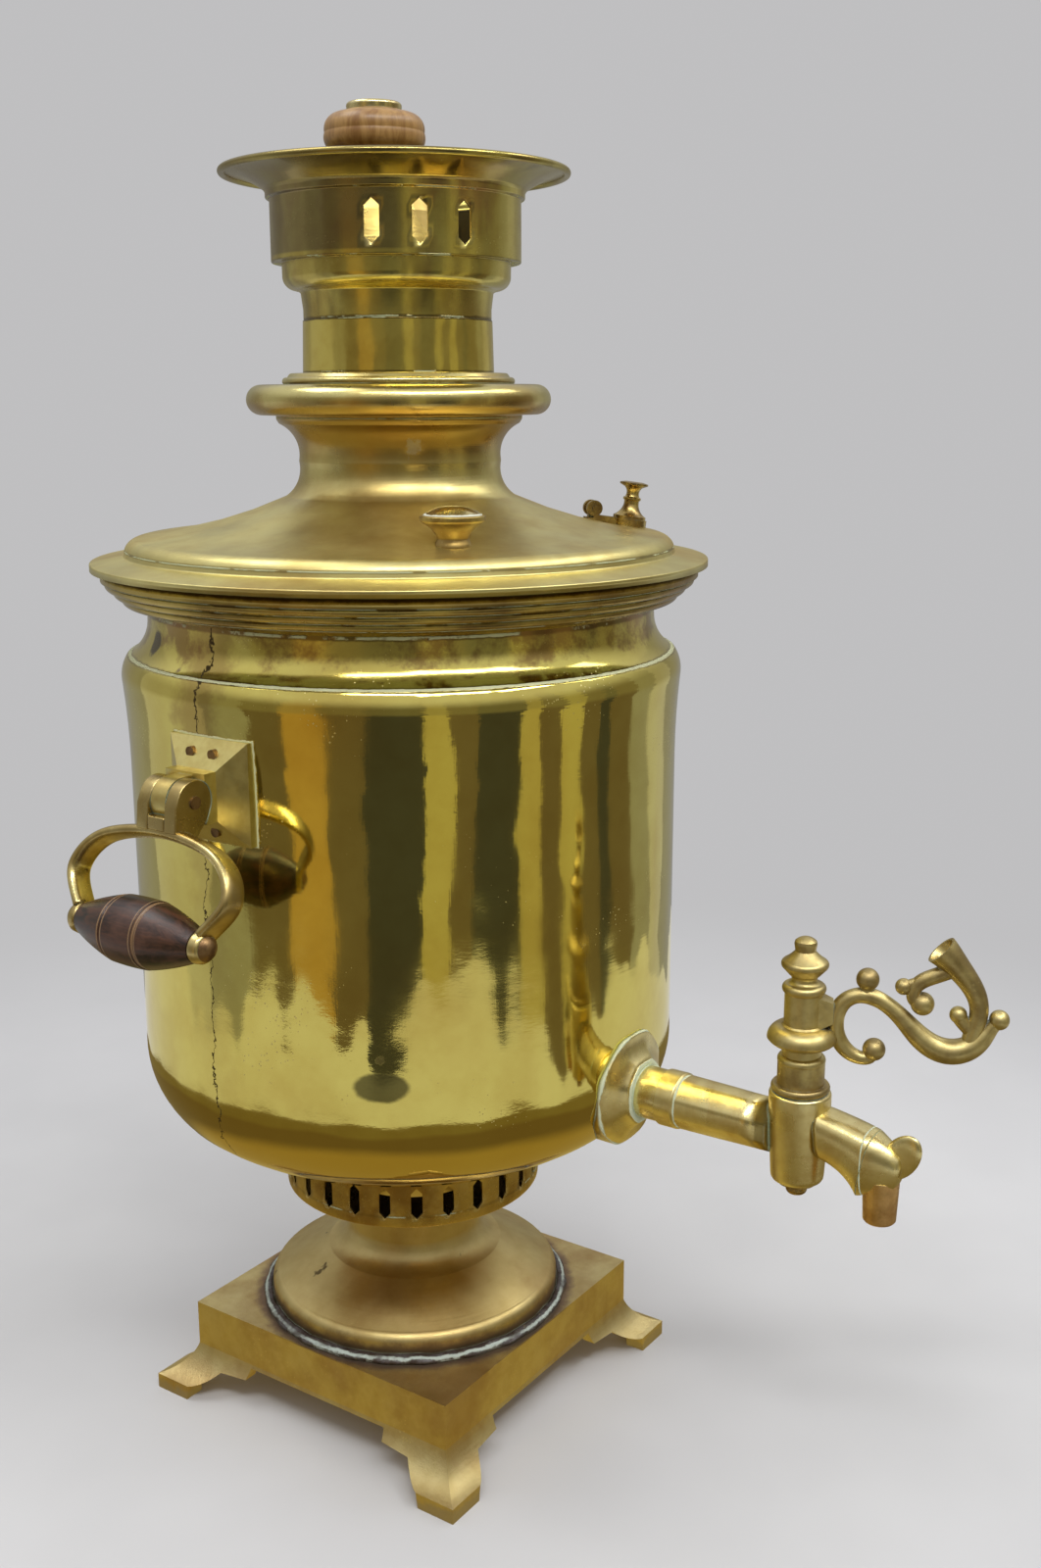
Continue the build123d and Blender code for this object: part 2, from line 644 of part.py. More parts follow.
# Chimney cap: a hat of sheet brass over the flue, with a wooden knob held by a stud and a brass button.
cap_place = Pos(cap_shift[0], cap_shift[1], floor_top)
knob_low = cap_top_height - cap_button_height - cap_knob_height
hat_line = [
    (cap_radius, 0), (cap_radius, 2.0), (cap_radius - 6.5, 2.8), (cap_radius - 10.5, knob_low * 0.4),
    (cap_radius - 17.5, knob_low * 0.8), (cap_stud_radius + 8.0, knob_low), (cap_stud_radius, knob_low),
]
save("cap_hat", cap_place * spun(*hat_line, wall=cap_sheet))
knob_r, knob_h = cap_knob_radius, cap_knob_height
wood = turned(
    (cap_stud_radius, 0), (knob_r * 0.62, 0), ((knob_r * 0.9, knob_h * 0.08), (knob_r, knob_h * 0.44)),
    ((knob_r * 0.94, knob_h * 0.74), (knob_r * 0.72, knob_h * 0.9)), (knob_r * 0.6, knob_h),
    (cap_stud_radius, knob_h),
)
save("cap_knob", cap_place * Pos(0, 0, knob_low) * wood)
button_z = knob_low + knob_h
save("cap_button", cap_place * Pos(0, 0, button_z) * turned(
    (0, 0), (cap_button_radius, 0), (cap_button_radius, 0.8),
    dome(cap_button_radius, 0.8, cap_button_height - 0.8),
))
cap_stud = rod(cap_stud_radius, (0, 0, knob_low - cap_sheet), (0, 0, button_z))
cap_stud += rod(cap_stud_radius * 1.8, (0, 0, knob_low - cap_sheet - 2.2), (0, 0, knob_low - cap_sheet))
save("cap_stud", cap_place * cap_stud)


# Carrying handles: a faceted plate riveted to the body, a hinge, and a bow of strap with a wooden grip.
wall_at_handle = body_radius + body_flare * 0.3
pin_x = -(wall_at_handle + handle_reach)
plate_x = wall_at_handle + handle_plate_rim
lug_x = wall_at_handle + handle_plate_rise
hang = radians(handle_hang)
stop_gap = 0.3
lug_end_x = pin_x + (knuckle_radius + stop_gap - lug_height / 2 * sin(hang)) / cos(hang)
half_lug, half_tongue = lug_width / 2, tongue_width / 2
top_z, low_z = handle_height + lug_height / 2, handle_height - lug_height / 2

half_plate = handle_plate_side / 2
plate = block(-plate_x, 0, -half_plate, half_plate, handle_height - half_plate, handle_height + half_plate)
outward = Plane(origin=(-plate_x, 0, handle_height), x_dir=(0, 1, 0), z_dir=(-1, 0, 0))
plate += frustum(outward, handle_plate_side, handle_plate_side, lug_x - plate_x, lug_width, lug_height)
plate += block(lug_end_x, -lug_x, -half_lug, half_lug, low_z, top_z)
handle_swing = Pos(pin_x, 0, handle_height) * Rot(0, handle_hang, 0)
past_lug = half_lug + 1
plate -= rod(knuckle_radius + swing_gap, (pin_x, -past_lug, handle_height), (pin_x, past_lug, handle_height))
plate -= handle_swing * block(-3 * knuckle_radius, knuckle_radius + stop_gap, -past_lug, past_lug, -40, 0)
tongue = block(
    pin_x, lug_end_x, -half_tongue, half_tongue, handle_height - knuckle_radius,
    handle_height + knuckle_radius
)
tongue += rod(knuckle_radius, (pin_x, -half_tongue, handle_height), (pin_x, half_tongue, handle_height))
pin_end = half_lug + 0.7
hinge_pin = rod(hinge_pin_radius, (pin_x, -pin_end, handle_height), (pin_x, pin_end, handle_height))
plate = plate + tongue - hinge_pin - body_solid

rivet_rise = (handle_plate_side - lug_height) / 4
rivet_x = (plate_x + lug_x) / 2 + rivet_head
rivet_end = wall_at_handle - sheet - 2.0
rivet_bars = []
for side in (-1, 1):
    for level in (-1, 1):
        rivet_y, rivet_z = side * rivet_spacing / 2, handle_height + level * (lug_height / 2 + rivet_rise)
        rivet_bars.append(rod(rivet_radius, (-rivet_x, rivet_y, rivet_z), (-rivet_end, rivet_y, rivet_z)))
rivets = Compound([solid for bar in rivet_bars for solid in bar.solids()])
plate -= rivets

# The hanging handle, built straight down from its pin and then swung out by its hanging angle.
slot_half = half_tongue + swing_gap
root_z = -(knuckle_radius + 3.0)
arm_z = -handle_arm
eye_out = grip_length / 2 + grip_eye
ears = rod(knuckle_radius, (0, -half_lug, 0), (0, half_lug, 0))
ears += block(-knuckle_radius, knuckle_radius, -half_lug, half_lug, root_z, 0)
ears -= block(-40, 40, -slot_half, slot_half, -knuckle_radius - swing_gap, 40)
ears -= rod(hinge_pin_radius + running_fit, (0, -half_lug - 1, 0), (0, half_lug + 1, 0))
bow_top = root_z - bow_strap / 2 + 0.6
eye_y = grip_length / 2 + grip_eye / 2
bow_path = [
    (-eye_y, arm_z + 4.0), (-bow_half_width, arm_z + 17.5), (-bow_half_width * 0.72, bow_top - 4.6),
    (0, bow_top),
    (bow_half_width * 0.72, bow_top - 4.6), (bow_half_width, arm_z + 17.5), (eye_y, arm_z + 4.0),
]
bow_curve = Spline(*[(0, y, z) for y, z in bow_path])
bow_side = Plane(origin=bow_curve @ 0, x_dir=(1, 0, 0), z_dir=bow_curve % 0)
bow_strip = sweep(bow_side * Rectangle(bow_strap_width, bow_strap), path=bow_curve)
bow = ears + bow_strip
head_r = grip_rod_head * 1.7
lathe = Plane(origin=(0, 0, arm_z), x_dir=(0, 0, 1), z_dir=(0, 1, 0))
grip_rod = lathe * turned(
    (0, 0), (grip_rod_radius, 0), (grip_rod_radius, eye_out), (head_r, eye_out),
    dome(head_r, eye_out, grip_rod_head),
)
grip_rod += mirror(grip_rod, Plane.XZ)
for side in (-1, 1):
    bow += rod(grip_end_radius, (0, side * grip_length / 2, arm_z), (0, side * eye_out, arm_z))
bow -= grip_rod
half_grip = grip_length / 2
groove = 0.5
grip_line = [(grip_rod_radius, -half_grip), (grip_end_radius, -half_grip)]
grip_line += [((grip_radius * 0.8, -half_grip * 0.6), (grip_radius * 0.97, -half_grip * 0.33))]
grip_line += [(grip_radius * 0.97 - groove, -half_grip * 0.3), (grip_radius, -half_grip * 0.27)]
grip_line += [((grip_radius * 1.02, 0), (grip_radius, half_grip * 0.27))]
grip_line += [(grip_radius * 0.97 - groove, half_grip * 0.3), (grip_radius * 0.97, half_grip * 0.33)]
grip_line.append(((grip_radius * 0.8, half_grip * 0.6), (grip_end_radius, half_grip)))
grip_line.append((grip_rod_radius, half_grip))
grip = lathe * turned(*grip_line)
fixed = {"handle_plate": plate, "hinge_pin": hinge_pin, "handle_rivets": rivets}
hanging = {"handle_bow": bow, "handle_grip": grip, "grip_rod": grip_rod}
for side, degree in (("left", 0), ("right", 180)):
    for node, shape in fixed.items():
        save(f"{node}_{side}", turn_z(degree) * shape)
    for node, shape in hanging.items():
        save(f"{node}_{side}", turn_z(degree) * handle_swing * shape)
    body_shell -= turn_z(degree) * rivets


# Tap: an octagonal flange and a tail through the wall, a shank, an octagonal tube, a housing and a spout.
tap_line = Plane(origin=(0, 0, tap_height), x_dir=(1, 0, 0), z_dir=(0, -1, 0))
flat_turn = 22.5


def octagon(across, reach):
    """An upright octagon with a flat side on top, square to the tap's line at a reach from the axis."""
    face = RegularPolygon(across / 2, 8, major_radius=False, rotation=flat_turn)
    return tap_line * Pos(0, 0, reach) * face


wall_r = body_radius
flange_start = wall_r - tap_flange_across / 2
flange_edge = wall_r + tap_flange_edge
flange_front = wall_r + tap_flange_rise
flange = extrude(octagon(tap_flange_across, flange_start), flange_edge - flange_start, dir=(0, -1, 0))
flange += loft([octagon(tap_flange_across, flange_edge), octagon(tap_flange_front, flange_front)])
tail_start, shank_end = wall_r - tap_tail, flange_front + tap_shank_length
shank_r = tap_shank_radius
tail = tap_line * turned(
    (0, tail_start), (tap_tail_radius, tail_start), (tap_tail_radius, flange_front), (shank_r, flange_front),
    (shank_r, shank_end - 8.6), (shank_r + 0.7, shank_end - 8.0), (shank_r + 0.7, shank_end - 0.8),
    (shank_r, shank_end), (0, shank_end),
)
save("tap_flange", flange - body_solid - tail)

tube_end_across = tap_tube_across - tap_tube_taper
tube = loft([octagon(tap_tube_across, shank_end), octagon(tube_end_across, tap_reach)])
housing_top, housing_low = tap_height - housing_below + housing_height, tap_height - housing_below
on_plug = Pos(0, -tap_reach, 0)
low_r = housing_radius - housing_taper
housing = on_plug * turned(
    (0, housing_low), (low_r - 1.8, housing_low),
    ((low_r - 0.4, housing_low + 0.8), (low_r, housing_low + 2.4)),
    (housing_radius, housing_top - 5.0), (housing_radius, housing_top - 1.0),
    (housing_radius - 0.8, housing_top),
    (0, housing_top),
)


def spout_section(reach, centre_z, tilt, height, width):
    """A spout section: an upright rectangle with cut corners, tilted forwards or back."""
    place = Plane(origin=(0, -tap_reach - reach, tap_height + centre_z), x_dir=(1, 0, 0), z_dir=(0, -1, 0))
    side, top, cut = width / 2, height / 2, width * 0.27
    corners = Polyline(
        (side, top - cut), (side - cut, top), (cut - side, top), (-side, top - cut),
        (-side, cut - top), (cut - side, -top), (side - cut, -top), (side, cut - top), close=True,
    )
    return place * Rot(tilt, 0, 0) * make_face(corners)


collar_section = spout_section(spout_collar, -0.184 * spout_height, 11.0, spout_height, spout_width)
spout = loft([
    spout_section(spout_collar * 0.145, spout_height * 0.12, 0, spout_height * 0.72, spout_width * 0.911),
    spout_section(spout_collar * 0.545, spout_height * 0.064, -8.0, spout_height * 0.76, spout_width * 0.933),
    collar_section,
])
flow = rod(tap_bore, (0, -tail_start + 1, tap_height), (0, -tap_reach - nozzle_reach, tap_height))
down = rod(tap_bore, (0, -tap_reach - nozzle_reach, tap_height + tap_bore), (0, -tap_reach - nozzle_reach, 0))
plug_low_r = plug_radius - plug_taper
bore = turned((0, housing_low), (plug_low_r, housing_low), (plug_radius, housing_top), (0, housing_top))
bore = on_plug * bore
tap_body = tail + tube + housing + spout - bore - flow

tip_section = spout_section(
    nozzle_reach + leaf_reach / 3, -0.224 * spout_height, 11.0, spout_height * 0.56, spout_width * 0.556
)
nose = loft([collar_section, tip_section])
leaf_root = profile(leaf_reach, 0, leaf_reach, (0.252, -0.521), (0.270, 0.307))
leaf_points = [(nozzle_reach + x, z) for x, z in leaf_root]
leaf_arcs = profile(
    leaf_reach, 0, leaf_reach, ((0.656, 0.748), (1.0, 0.399)), ((0.865, -0.160), (0.460, -0.675)),
)
leaf_points += [((nozzle_reach + mid[0], mid[1]), (nozzle_reach + end[0], end[1])) for mid, end in leaf_arcs]
leaf_points.append(leaf_points[0])
leaf_face = make_face(edges_of(*leaf_points))
leaf = Pos(0, -tap_reach, tap_height) * turn_z(-90) * extrude(leaf_face, leaf_thickness / 2, both=True)
nozzle_low = tap_height - nozzle_drop
nozzle_top = tap_height - nozzle_root
nozzle = Pos(0, -tap_reach - nozzle_reach, 0) * turned(
    (0, nozzle_low), (nozzle_radius - 1.2, nozzle_low), (nozzle_radius - 0.7, nozzle_low + 0.6),
    (nozzle_radius, nozzle_top), (0, nozzle_top),
)
save("tap_body", tap_body - nozzle)
save("tap_nose", nose + leaf - nozzle - flow - down)
save("tap_nozzle", nozzle - down)

# Inside the vessel: the nut that draws the tap against the wall, and the strainer over the end of its tail.
nut_low = tap_height - back_nut_across / 2
wall_ray = rod(0.2, (0, 0, nut_low), (0, -2 * wall_r, nut_low))
nut_start = -(wall_ray & body_solid).bounding_box().min.Y - sheet - back_nut_thickness
nut_face = tap_line * Pos(0, 0, nut_start) * RegularPolygon(back_nut_across / 2, 6, major_radius=False)
back_nut = extrude(nut_face, wall_r - nut_start, dir=(0, -1, 0))
save("tap_back_nut", (back_nut & body_solid) - body_shell - tail)
cup_end = tail_start - strainer_depth
strainer = tap_line * turned(
    (tap_tail_radius, tail_start + 6.0), (tap_tail_radius + 1.0, tail_start + 6.0),
    (tap_tail_radius + 1.0, tail_start + 1.0), (strainer_radius, tail_start), (strainer_radius, cup_end),
    (0, cup_end), (0, cup_end + 1.0), (strainer_radius - 1.0, cup_end + 1.0),
    (strainer_radius - 1.0, tail_start - 1.0), (tap_tail_radius, tail_start - 1.0),
)
for ring_r, count in ((4.0, 6), (8.6, 12)):
    for step in range(count):
        hole = tap_line * turn_z(360 * step / count) * Pos(ring_r, 0, cup_end) * Cylinder(1.1, 4)
        strainer -= hole
save("tap_strainer", strainer)
body_shell -= tail
save("body_shell", body_shell)

# Tap plug: the tapered plug that turns in the housing, with a turned finial above it and the key's root.
plug_top = housing_top + slip_gap
top_r = plug_radius - running_fit
finial = plug_top + finial_height * 0.046
end_r = plug_low_r - running_fit
finial_line = profile(
    finial_radius, finial, finial_height,
    (0.795, -0.046), ((0.843, -0.024), (0.795, 0)), (0.673, 0), (0.673, 0.156),
    ((0.654, 0.193), (0.559, 0.207)),
    (0.559, 0.267), ((0.740, 0.276), (1.0, 0.322)), ((0.961, 0.363), (0.598, 0.415)), (0.543, 0.426),
    (0.543, 0.643),
    ((0.622, 0.674), (0.528, 0.706)), ((0.362, 0.737), (0.441, 0.770)), (0.630, 0.819),
    ((0.669, 0.844), (0.614, 0.867)),
    ((0.425, 0.900), (0.291, 0.933)), (0.323, 0.981), (0.307, 1.0),
)
plug = turned(
    (0, housing_low), (end_r, housing_low), (top_r, housing_top), (top_r, plug_top), *finial_line,
    dome(finial_radius * 0.307, finial + finial_height, finial_height * 0.031),
)
root_z = finial + finial_height * 0.52
root_place = Plane(origin=(finial_radius * 0.39, 0, root_z), x_dir=(0, 1, 0), z_dir=(1, 0, 0))
key_root = frustum(
    root_place, finial_radius * 0.71, finial_height * 0.226, finial_radius * 0.44, finial_radius * 0.5,
    finial_height * 0.141
)
port = rod(plug_port, (-plug_radius, 0, tap_height), (plug_radius, 0, tap_height))
turn_key = turn_z(plug_key_turn - 90)
spindle = rod(spindle_radius, (0, 0, housing_low - 2.6), (0, 0, housing_low))
tap_plug = plug + key_root + spindle - Rot(0, 0, 90) * port
save("tap_plug", on_plug * turn_key * tap_plug)
washer_z = housing_low - 0.9
washer = turned(
    (spindle_radius, washer_z), (low_r - 2.6, washer_z), (low_r - 2.6, housing_low),
    (spindle_radius, housing_low)
)
save("plug_washer", on_plug * washer)
save("plug_nut", on_plug * (turned(
    (0, washer_z - 4.4), (3.0, washer_z - 4.4), ((3.9, washer_z - 2.9), (3.3, washer_z - 1.4)),
    (3.0, washer_z - 1.0),
    (3.0, washer_z), (0, washer_z),
) - spindle))


# Tap key: a cast scroll, an S of swelling round bar with ball ends, a bud on each side and a trumpet mouth.
def scroll(*stations):
    """A swelling round bar in the XZ plane; its (x, z, radius) stations are shares of the key's reach."""
    real = [(x * key_reach, key_z + z * key_reach, radius * key_reach) for x, z, radius in stations]
    sections = []
    for count, (x, z, radius) in enumerate(real):
        before, after = real[max(count - 1, 0)], real[min(count + 1, len(real) - 1)]
        run = (after[0] - before[0], 0, after[1] - before[1])
        sections.append(Plane(origin=(x, 0, z), x_dir=(0, 1, 0), z_dir=run) * Circle(radius))
    return loft(sections)


def ball(x, z, radius):
    return Pos(x * key_reach, 0, key_z + z * key_reach) * Sphere(radius * key_reach)


key_z = root_z - 0.7 * key_reach
key = scroll(
    (0.3735, 0.5015, 0.0324), (0.3088, 0.4500, 0.0368), (0.2132, 0.5074, 0.0426),
    (0.1691, 0.6441, 0.0441), (0.2132, 0.7618, 0.0426), (0.3015, 0.7985, 0.0426),
    (0.4044, 0.7691, 0.0441), (0.5074, 0.6853, 0.0485), (0.6250, 0.5676, 0.0618),
    (0.7500, 0.5147, 0.0676), (0.8750, 0.5529, 0.0618), (0.9500, 0.6397, 0.0441),
    (1.0000, 0.7044, 0.0382),
)
key += scroll(
    (0.8618, 0.5662, 0.0471), (0.8882, 0.6809, 0.0485), (0.8926, 0.7809, 0.0500),
    (0.8382, 0.9000, 0.0574), (0.7574, 1.0000, 0.0706), (0.6882, 1.0706, 0.0868),
)
key += scroll(
    (0.8029, 0.9647, 0.0382), (0.7647, 0.9706, 0.0441), (0.6676, 0.9265, 0.0412),
    (0.5912, 0.8853, 0.0397), (0.5603, 0.8162, 0.0368), (0.6029, 0.7735, 0.0353),
)
key += scroll((0.8765, 0.6250, 0.0382), (0.8294, 0.6676, 0.0382), (0.7926, 0.7206, 0.0412))
key += scroll((0.5971, 0.8912, 0.0294), (0.5500, 0.8765, 0.0265), (0.5088, 0.8588, 0.0265))
key_balls = [
    (0.3735, 0.5015, 0.0603), (0.3250, 0.8882, 0.0603), (1.0000, 0.7044, 0.0529),
    (0.6088, 0.7706, 0.0618), (0.5088, 0.8588, 0.0441), (0.7926, 0.7206, 0.0456),
]
for x, z, radius in key_balls:
    key += ball(x, z, radius)
key += scroll((0.3176, 0.8029, 0.0353), (0.3250, 0.8588, 0.0324))
mouth = scroll((0.7441, 1.0132, 0.0382), (0.6853, 1.0735, 0.0735), (0.6706, 1.0882, 0.0794))
save("tap_key", on_plug * turn_key * (key - mouth - tap_plug))
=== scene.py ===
import bmesh
import bpy
import math
from mathutils import Matrix, Vector


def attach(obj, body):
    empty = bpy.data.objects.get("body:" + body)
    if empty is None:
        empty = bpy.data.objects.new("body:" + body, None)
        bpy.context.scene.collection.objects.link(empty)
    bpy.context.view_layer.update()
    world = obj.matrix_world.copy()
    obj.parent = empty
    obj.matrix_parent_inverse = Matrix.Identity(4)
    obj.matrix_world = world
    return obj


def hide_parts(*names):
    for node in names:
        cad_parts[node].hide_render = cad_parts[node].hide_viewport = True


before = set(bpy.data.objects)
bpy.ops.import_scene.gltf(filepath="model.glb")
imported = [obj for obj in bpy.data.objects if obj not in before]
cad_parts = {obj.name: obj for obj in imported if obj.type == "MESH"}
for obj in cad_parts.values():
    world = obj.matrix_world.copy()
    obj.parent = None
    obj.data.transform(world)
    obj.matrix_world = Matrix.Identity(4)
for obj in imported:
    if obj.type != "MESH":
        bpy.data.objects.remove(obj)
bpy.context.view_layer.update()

# The samovar is built up from the floor: plinth, pedestal, collar, body, fire tube, lid, crown, cap, handles,
# tap. The frame's nodes keep their shape, and the large spun sheets are turned again here with a finer
# surface.


# Cast plinth: a square brass casting on four bracket feet, cast in sand and filed by hand.
# Its metal is duller and browner than the sheet, with pits, scuffed corners and a bruised front foot.
class Wiring:
    """The shader nodes of a material or of the world, and the coordinates that they read."""

    def __init__(self, tree, coordinates):
        self.nodes, self.links = tree.nodes, tree.links
        self.place = self.nodes.new("ShaderNodeTexCoord").outputs[coordinates]
        self.split = None

    def feed(self, socket, value):
        if isinstance(value, (int, float)):
            socket.default_value = value
        elif isinstance(value, tuple):
            socket.default_value = (*value,
                                    1.0) if len(value) == 3 and len(socket.default_value) == 4 else value
        else:
            self.links.new(value, socket)

    def maths(self, kind, first, second=0.0, third=0.0):
        node = self.nodes.new("ShaderNodeMath")
        node.operation = kind
        for socket, value in zip(node.inputs, (first, second, third)):
            self.feed(socket, value)
        return node.outputs["Value"]

    def axis(self, letter):
        if self.split is None:
            self.split = self.nodes.new("ShaderNodeSeparateXYZ")
            self.links.new(self.place, self.split.inputs["Vector"])
        return self.split.outputs[letter]

    def moved(self, stretch=(1.0, 1.0, 1.0), shift=(0.0, 0.0, 0.0)):
        node = self.nodes.new("ShaderNodeMapping")
        self.links.new(self.place, node.inputs["Vector"])
        node.inputs["Scale"].default_value = stretch
        node.inputs["Location"].default_value = shift
        return node.outputs["Vector"]

    def noise(self, size, detail=4.0, harsh=0.55, stretch=(1.0, 1.0, 1.0), shift=0.0, twist=0.0):
        node = self.nodes.new("ShaderNodeTexNoise")
        self.links.new(self.moved(stretch, (shift, shift * 0.7, shift * 1.3)), node.inputs["Vector"])
        for socket, value in zip(("Scale", "Detail", "Roughness", "Distortion"),
                                 (size, detail, harsh, twist)):
            node.inputs[socket].default_value = value
        return node.outputs["Fac"]

    def cells(self, size, shift=0.0):
        node = self.nodes.new("ShaderNodeTexVoronoi")
        self.links.new(self.moved(shift=(shift, shift, shift)), node.inputs["Vector"])
        node.inputs["Scale"].default_value = size
        return node.outputs["Distance"]

    def fade(self, value, low, high, to_low=0.0, to_high=1.0, kind="SMOOTHSTEP"):
        node = self.nodes.new("ShaderNodeMapRange")
        node.interpolation_type = kind
        self.feed(node.inputs["Value"], value)
        for socket, number in zip(("From Min", "From Max", "To Min", "To Max"), (low, high, to_low, to_high)):
            node.inputs[socket].default_value = number
        return node.outputs["Result"]

    def mix(self, share, first, second, kind="MIX"):
        node = self.nodes.new("ShaderNodeMix")
        node.data_type = "RGBA"
        node.blend_type = kind
        self.feed(node.inputs[0], share)
        self.feed(node.inputs[6], first)
        self.feed(node.inputs[7], second)
        return node.outputs[2]

    def times(self, first, second):
        return self.maths("MULTIPLY", first, second)

    def away(self, value, place):
        """How far a coordinate is from a place, on either side of it."""
        return self.maths("ABSOLUTE", self.maths("SUBTRACT", value, place))

    def across(self, first, second):
        """Distance from the line on which two coordinates are zero."""
        squares = self.maths("ADD", self.maths("POWER", first, 2.0), self.maths("POWER", second, 2.0))
        return self.maths("SQRT", squares)

    def near(self, spot):
        """Distance from a spot."""
        node = self.nodes.new("ShaderNodeVectorMath")
        node.operation = "DISTANCE"
        self.links.new(self.place, node.inputs[0])
        node.inputs[1].default_value = spot
        return node.outputs["Value"]

    def frayed(self, edge, reach, size, detail, harsh, shift=0.0, stretch=(1.0, 1.0, 1.0)):
        """A coordinate or an edge that noise moves by up to a reach."""
        return self.maths("MULTIPLY_ADD", self.noise(size, detail, harsh, stretch, shift), reach, edge)

    def glow(self, colour):
        node = self.nodes.new("ShaderNodeEmission")
        self.feed(node.inputs["Color"], colour)
        return node.outputs["Emission"]


class Finish(Wiring):
    """A surface finish being made up: one material, in the object's own coordinates, in metres."""

    def __init__(self, name, metallic=1.0):
        self.material = bpy.data.materials.new(name)
        self.material.use_nodes = True
        super().__init__(self.material.node_tree, "Object")
        self.shader = self.nodes["Principled BSDF"]
        self.shader.inputs["Metallic"].default_value = metallic
        self.relief = None

    def hollow(self, reach):
        """How closed-in a spot is, from 0 in the open to 1 in a corner, within a reach in metres."""
        node = self.nodes.new("ShaderNodeAmbientOcclusion")
        node.samples = 6
        node.inputs["Distance"].default_value = reach
        return self.maths("SUBTRACT", 1.0, node.outputs["AO"])

    def bump(self, height, depth, strength):
        node = self.nodes.new("ShaderNodeBump")
        node.inputs["Strength"].default_value = strength
        node.inputs["Distance"].default_value = depth
        self.links.new(height, node.inputs["Height"])
        if self.relief is not None:
            self.links.new(self.relief, node.inputs["Normal"])
        self.relief = node.outputs["Normal"]

    def done(self, colour, rough):
        self.feed(self.shader.inputs["Base Color"], colour)
        self.feed(self.shader.inputs["Roughness"], rough)
        if self.relief is not None:
            self.links.new(self.relief, self.shader.inputs["Normal"])
        return self.material


def tarnished_brass(name, bright=(0.80, 0.67, 0.19), brown=(0.44, 0.27, 0.06),
                    patches=(18.0, 0.48, 0.70, 0.7),
                    streaks=0.25, rough=(0.10, 0.24), dents=(), scratches=0.3, turned=0.0, pits=0.0,
                    specks=0.25,
                    corner_shade_and_grime=0.6, salts=0.35, salt_tint=(0.50, 0.55, 0.36), seam_and_shadow_lines=(), extra=None):
    """Old brass: brown patches, running stains, dents, scratches, painted shade and grime darkening the
    corners, green salts on joints.

    A dent is (cells per metre, depth); a seam or painted shadow line is (height in mm, width in mm, dark
    share, salted share)."""
    finish = Finish(name)
    size, low, high, share = patches
    patch = finish.fade(finish.noise(size, 5.0, 0.6), low, high, 0.0, share)
    running = finish.fade(finish.noise(size * 2.2, 4.0, 0.6, (1.0, 1.0, 0.16), 0.37), 0.52, 0.72, 0.0,
                          streaks)
    mottle = finish.noise(size * 5, 4.0, 0.6, shift=0.73)
    colour = finish.mix(finish.maths("MAXIMUM", patch, running), bright, brown)
    colour = finish.mix(finish.fade(mottle, 0.35, 0.70, 0.0, 0.35), colour, (0.74, 0.64, 0.46), "MULTIPLY")
    smudge = finish.noise(size * 1.7, 4.0, 0.6, shift=0.11)
    shine = finish.fade(smudge, 0.30, 0.70, *rough)
    shine = finish.maths("MULTIPLY_ADD", patch, 0.06, shine)
    if specks:
        gather = finish.fade(finish.noise(22.0, 4.0, 0.7, shift=0.9), 0.44, 0.68, -0.05, 0.22)
        fleck = finish.fade(finish.maths("SUBTRACT", finish.cells(560.0, 0.2), gather), -0.05, 0.02, specks,
                            0.0)
        colour = finish.mix(fleck, colour, (0.92, 0.80, 0.36))
        shine = finish.maths("MULTIPLY_ADD", fleck, 0.45, shine)
    # Darkening in corners and where parts meet, masked by ambient occlusion: painted shade, with grime frayed
    # into it.
    corner = finish.hollow(0.0035)
    corner_shade_and_dirt = finish.frayed(corner, 0.5, 160.0, 5.0, 0.7, 0.4)
    corner_shade_and_dirt = finish.fade(corner_shade_and_dirt, 0.62, 1.05, 0.0, corner_shade_and_grime)
    colour = finish.mix(corner_shade_and_dirt, colour, (0.085, 0.050, 0.018))
    shine = finish.maths("MULTIPLY_ADD", corner_shade_and_dirt, 0.3, shine)
    ragged = finish.noise(120.0, 5.0, 0.7, shift=0.6)
    green = finish.fade(finish.maths("MULTIPLY_ADD", ragged, 0.9, finish.hollow(0.0011)), 0.92, 1.12, 0.0,
                        salts)
    wander = finish.noise(150.0, 5.0, 0.75, shift=0.5) if seam_and_shadow_lines else None
    for height, width, dark, salted in seam_and_shadow_lines:
        off = finish.away(finish.axis("Z"), height * 0.001)
        off = finish.maths("DIVIDE", off, finish.times(wander, width * 0.001))
        colour = finish.mix(finish.fade(off, 0.8, 2.2, dark, 0.0), colour, (0.11, 0.065, 0.022))
        if salted:
            caked = finish.fade(finish.noise(48.0, 5.0, 0.65, shift=height * 0.01), 0.66 - 0.5 * salted,
                                0.74 - 0.5 * salted)
            caked = finish.times(caked, finish.fade(off, 0.5, 1.0, 0.95, 0.0))
            green = finish.maths("MAXIMUM", green, caked)
    if extra is not None:
        colour, shine, green = extra(finish, colour, shine, green)
    colour = finish.mix(green, colour, salt_tint)
    shine = finish.maths("MAXIMUM", shine, finish.times(green, 0.85))
    finish.feed(finish.shader.inputs["Metallic"], finish.maths("SUBTRACT", 1.0, green))
    for count, (cells, depth) in enumerate(dents):
        finish.bump(finish.noise(cells, 1.5, 0.4, shift=0.27 + count), 0.004, depth)
    if turned:
        finish.bump(finish.noise(34.0, 5.0, 0.65, (0.4, 0.4, 22.0), 0.15), 0.00012, turned)
    if scratches:
        finish.bump(finish.noise(260.0, 3.0, 0.7, (0.06, 1.0, 1.6), 0.3), 0.00010, scratches)
        finish.bump(finish.noise(240.0, 3.0, 0.7, (1.3, 0.9, 0.07), 0.6), 0.00010, scratches)
    if pits:
        finish.bump(finish.noise(900.0, 5.0, 0.7), 0.0004, pits)
    finish.bump(green, 0.0004, 0.6)
    return finish.done(colour, shine)


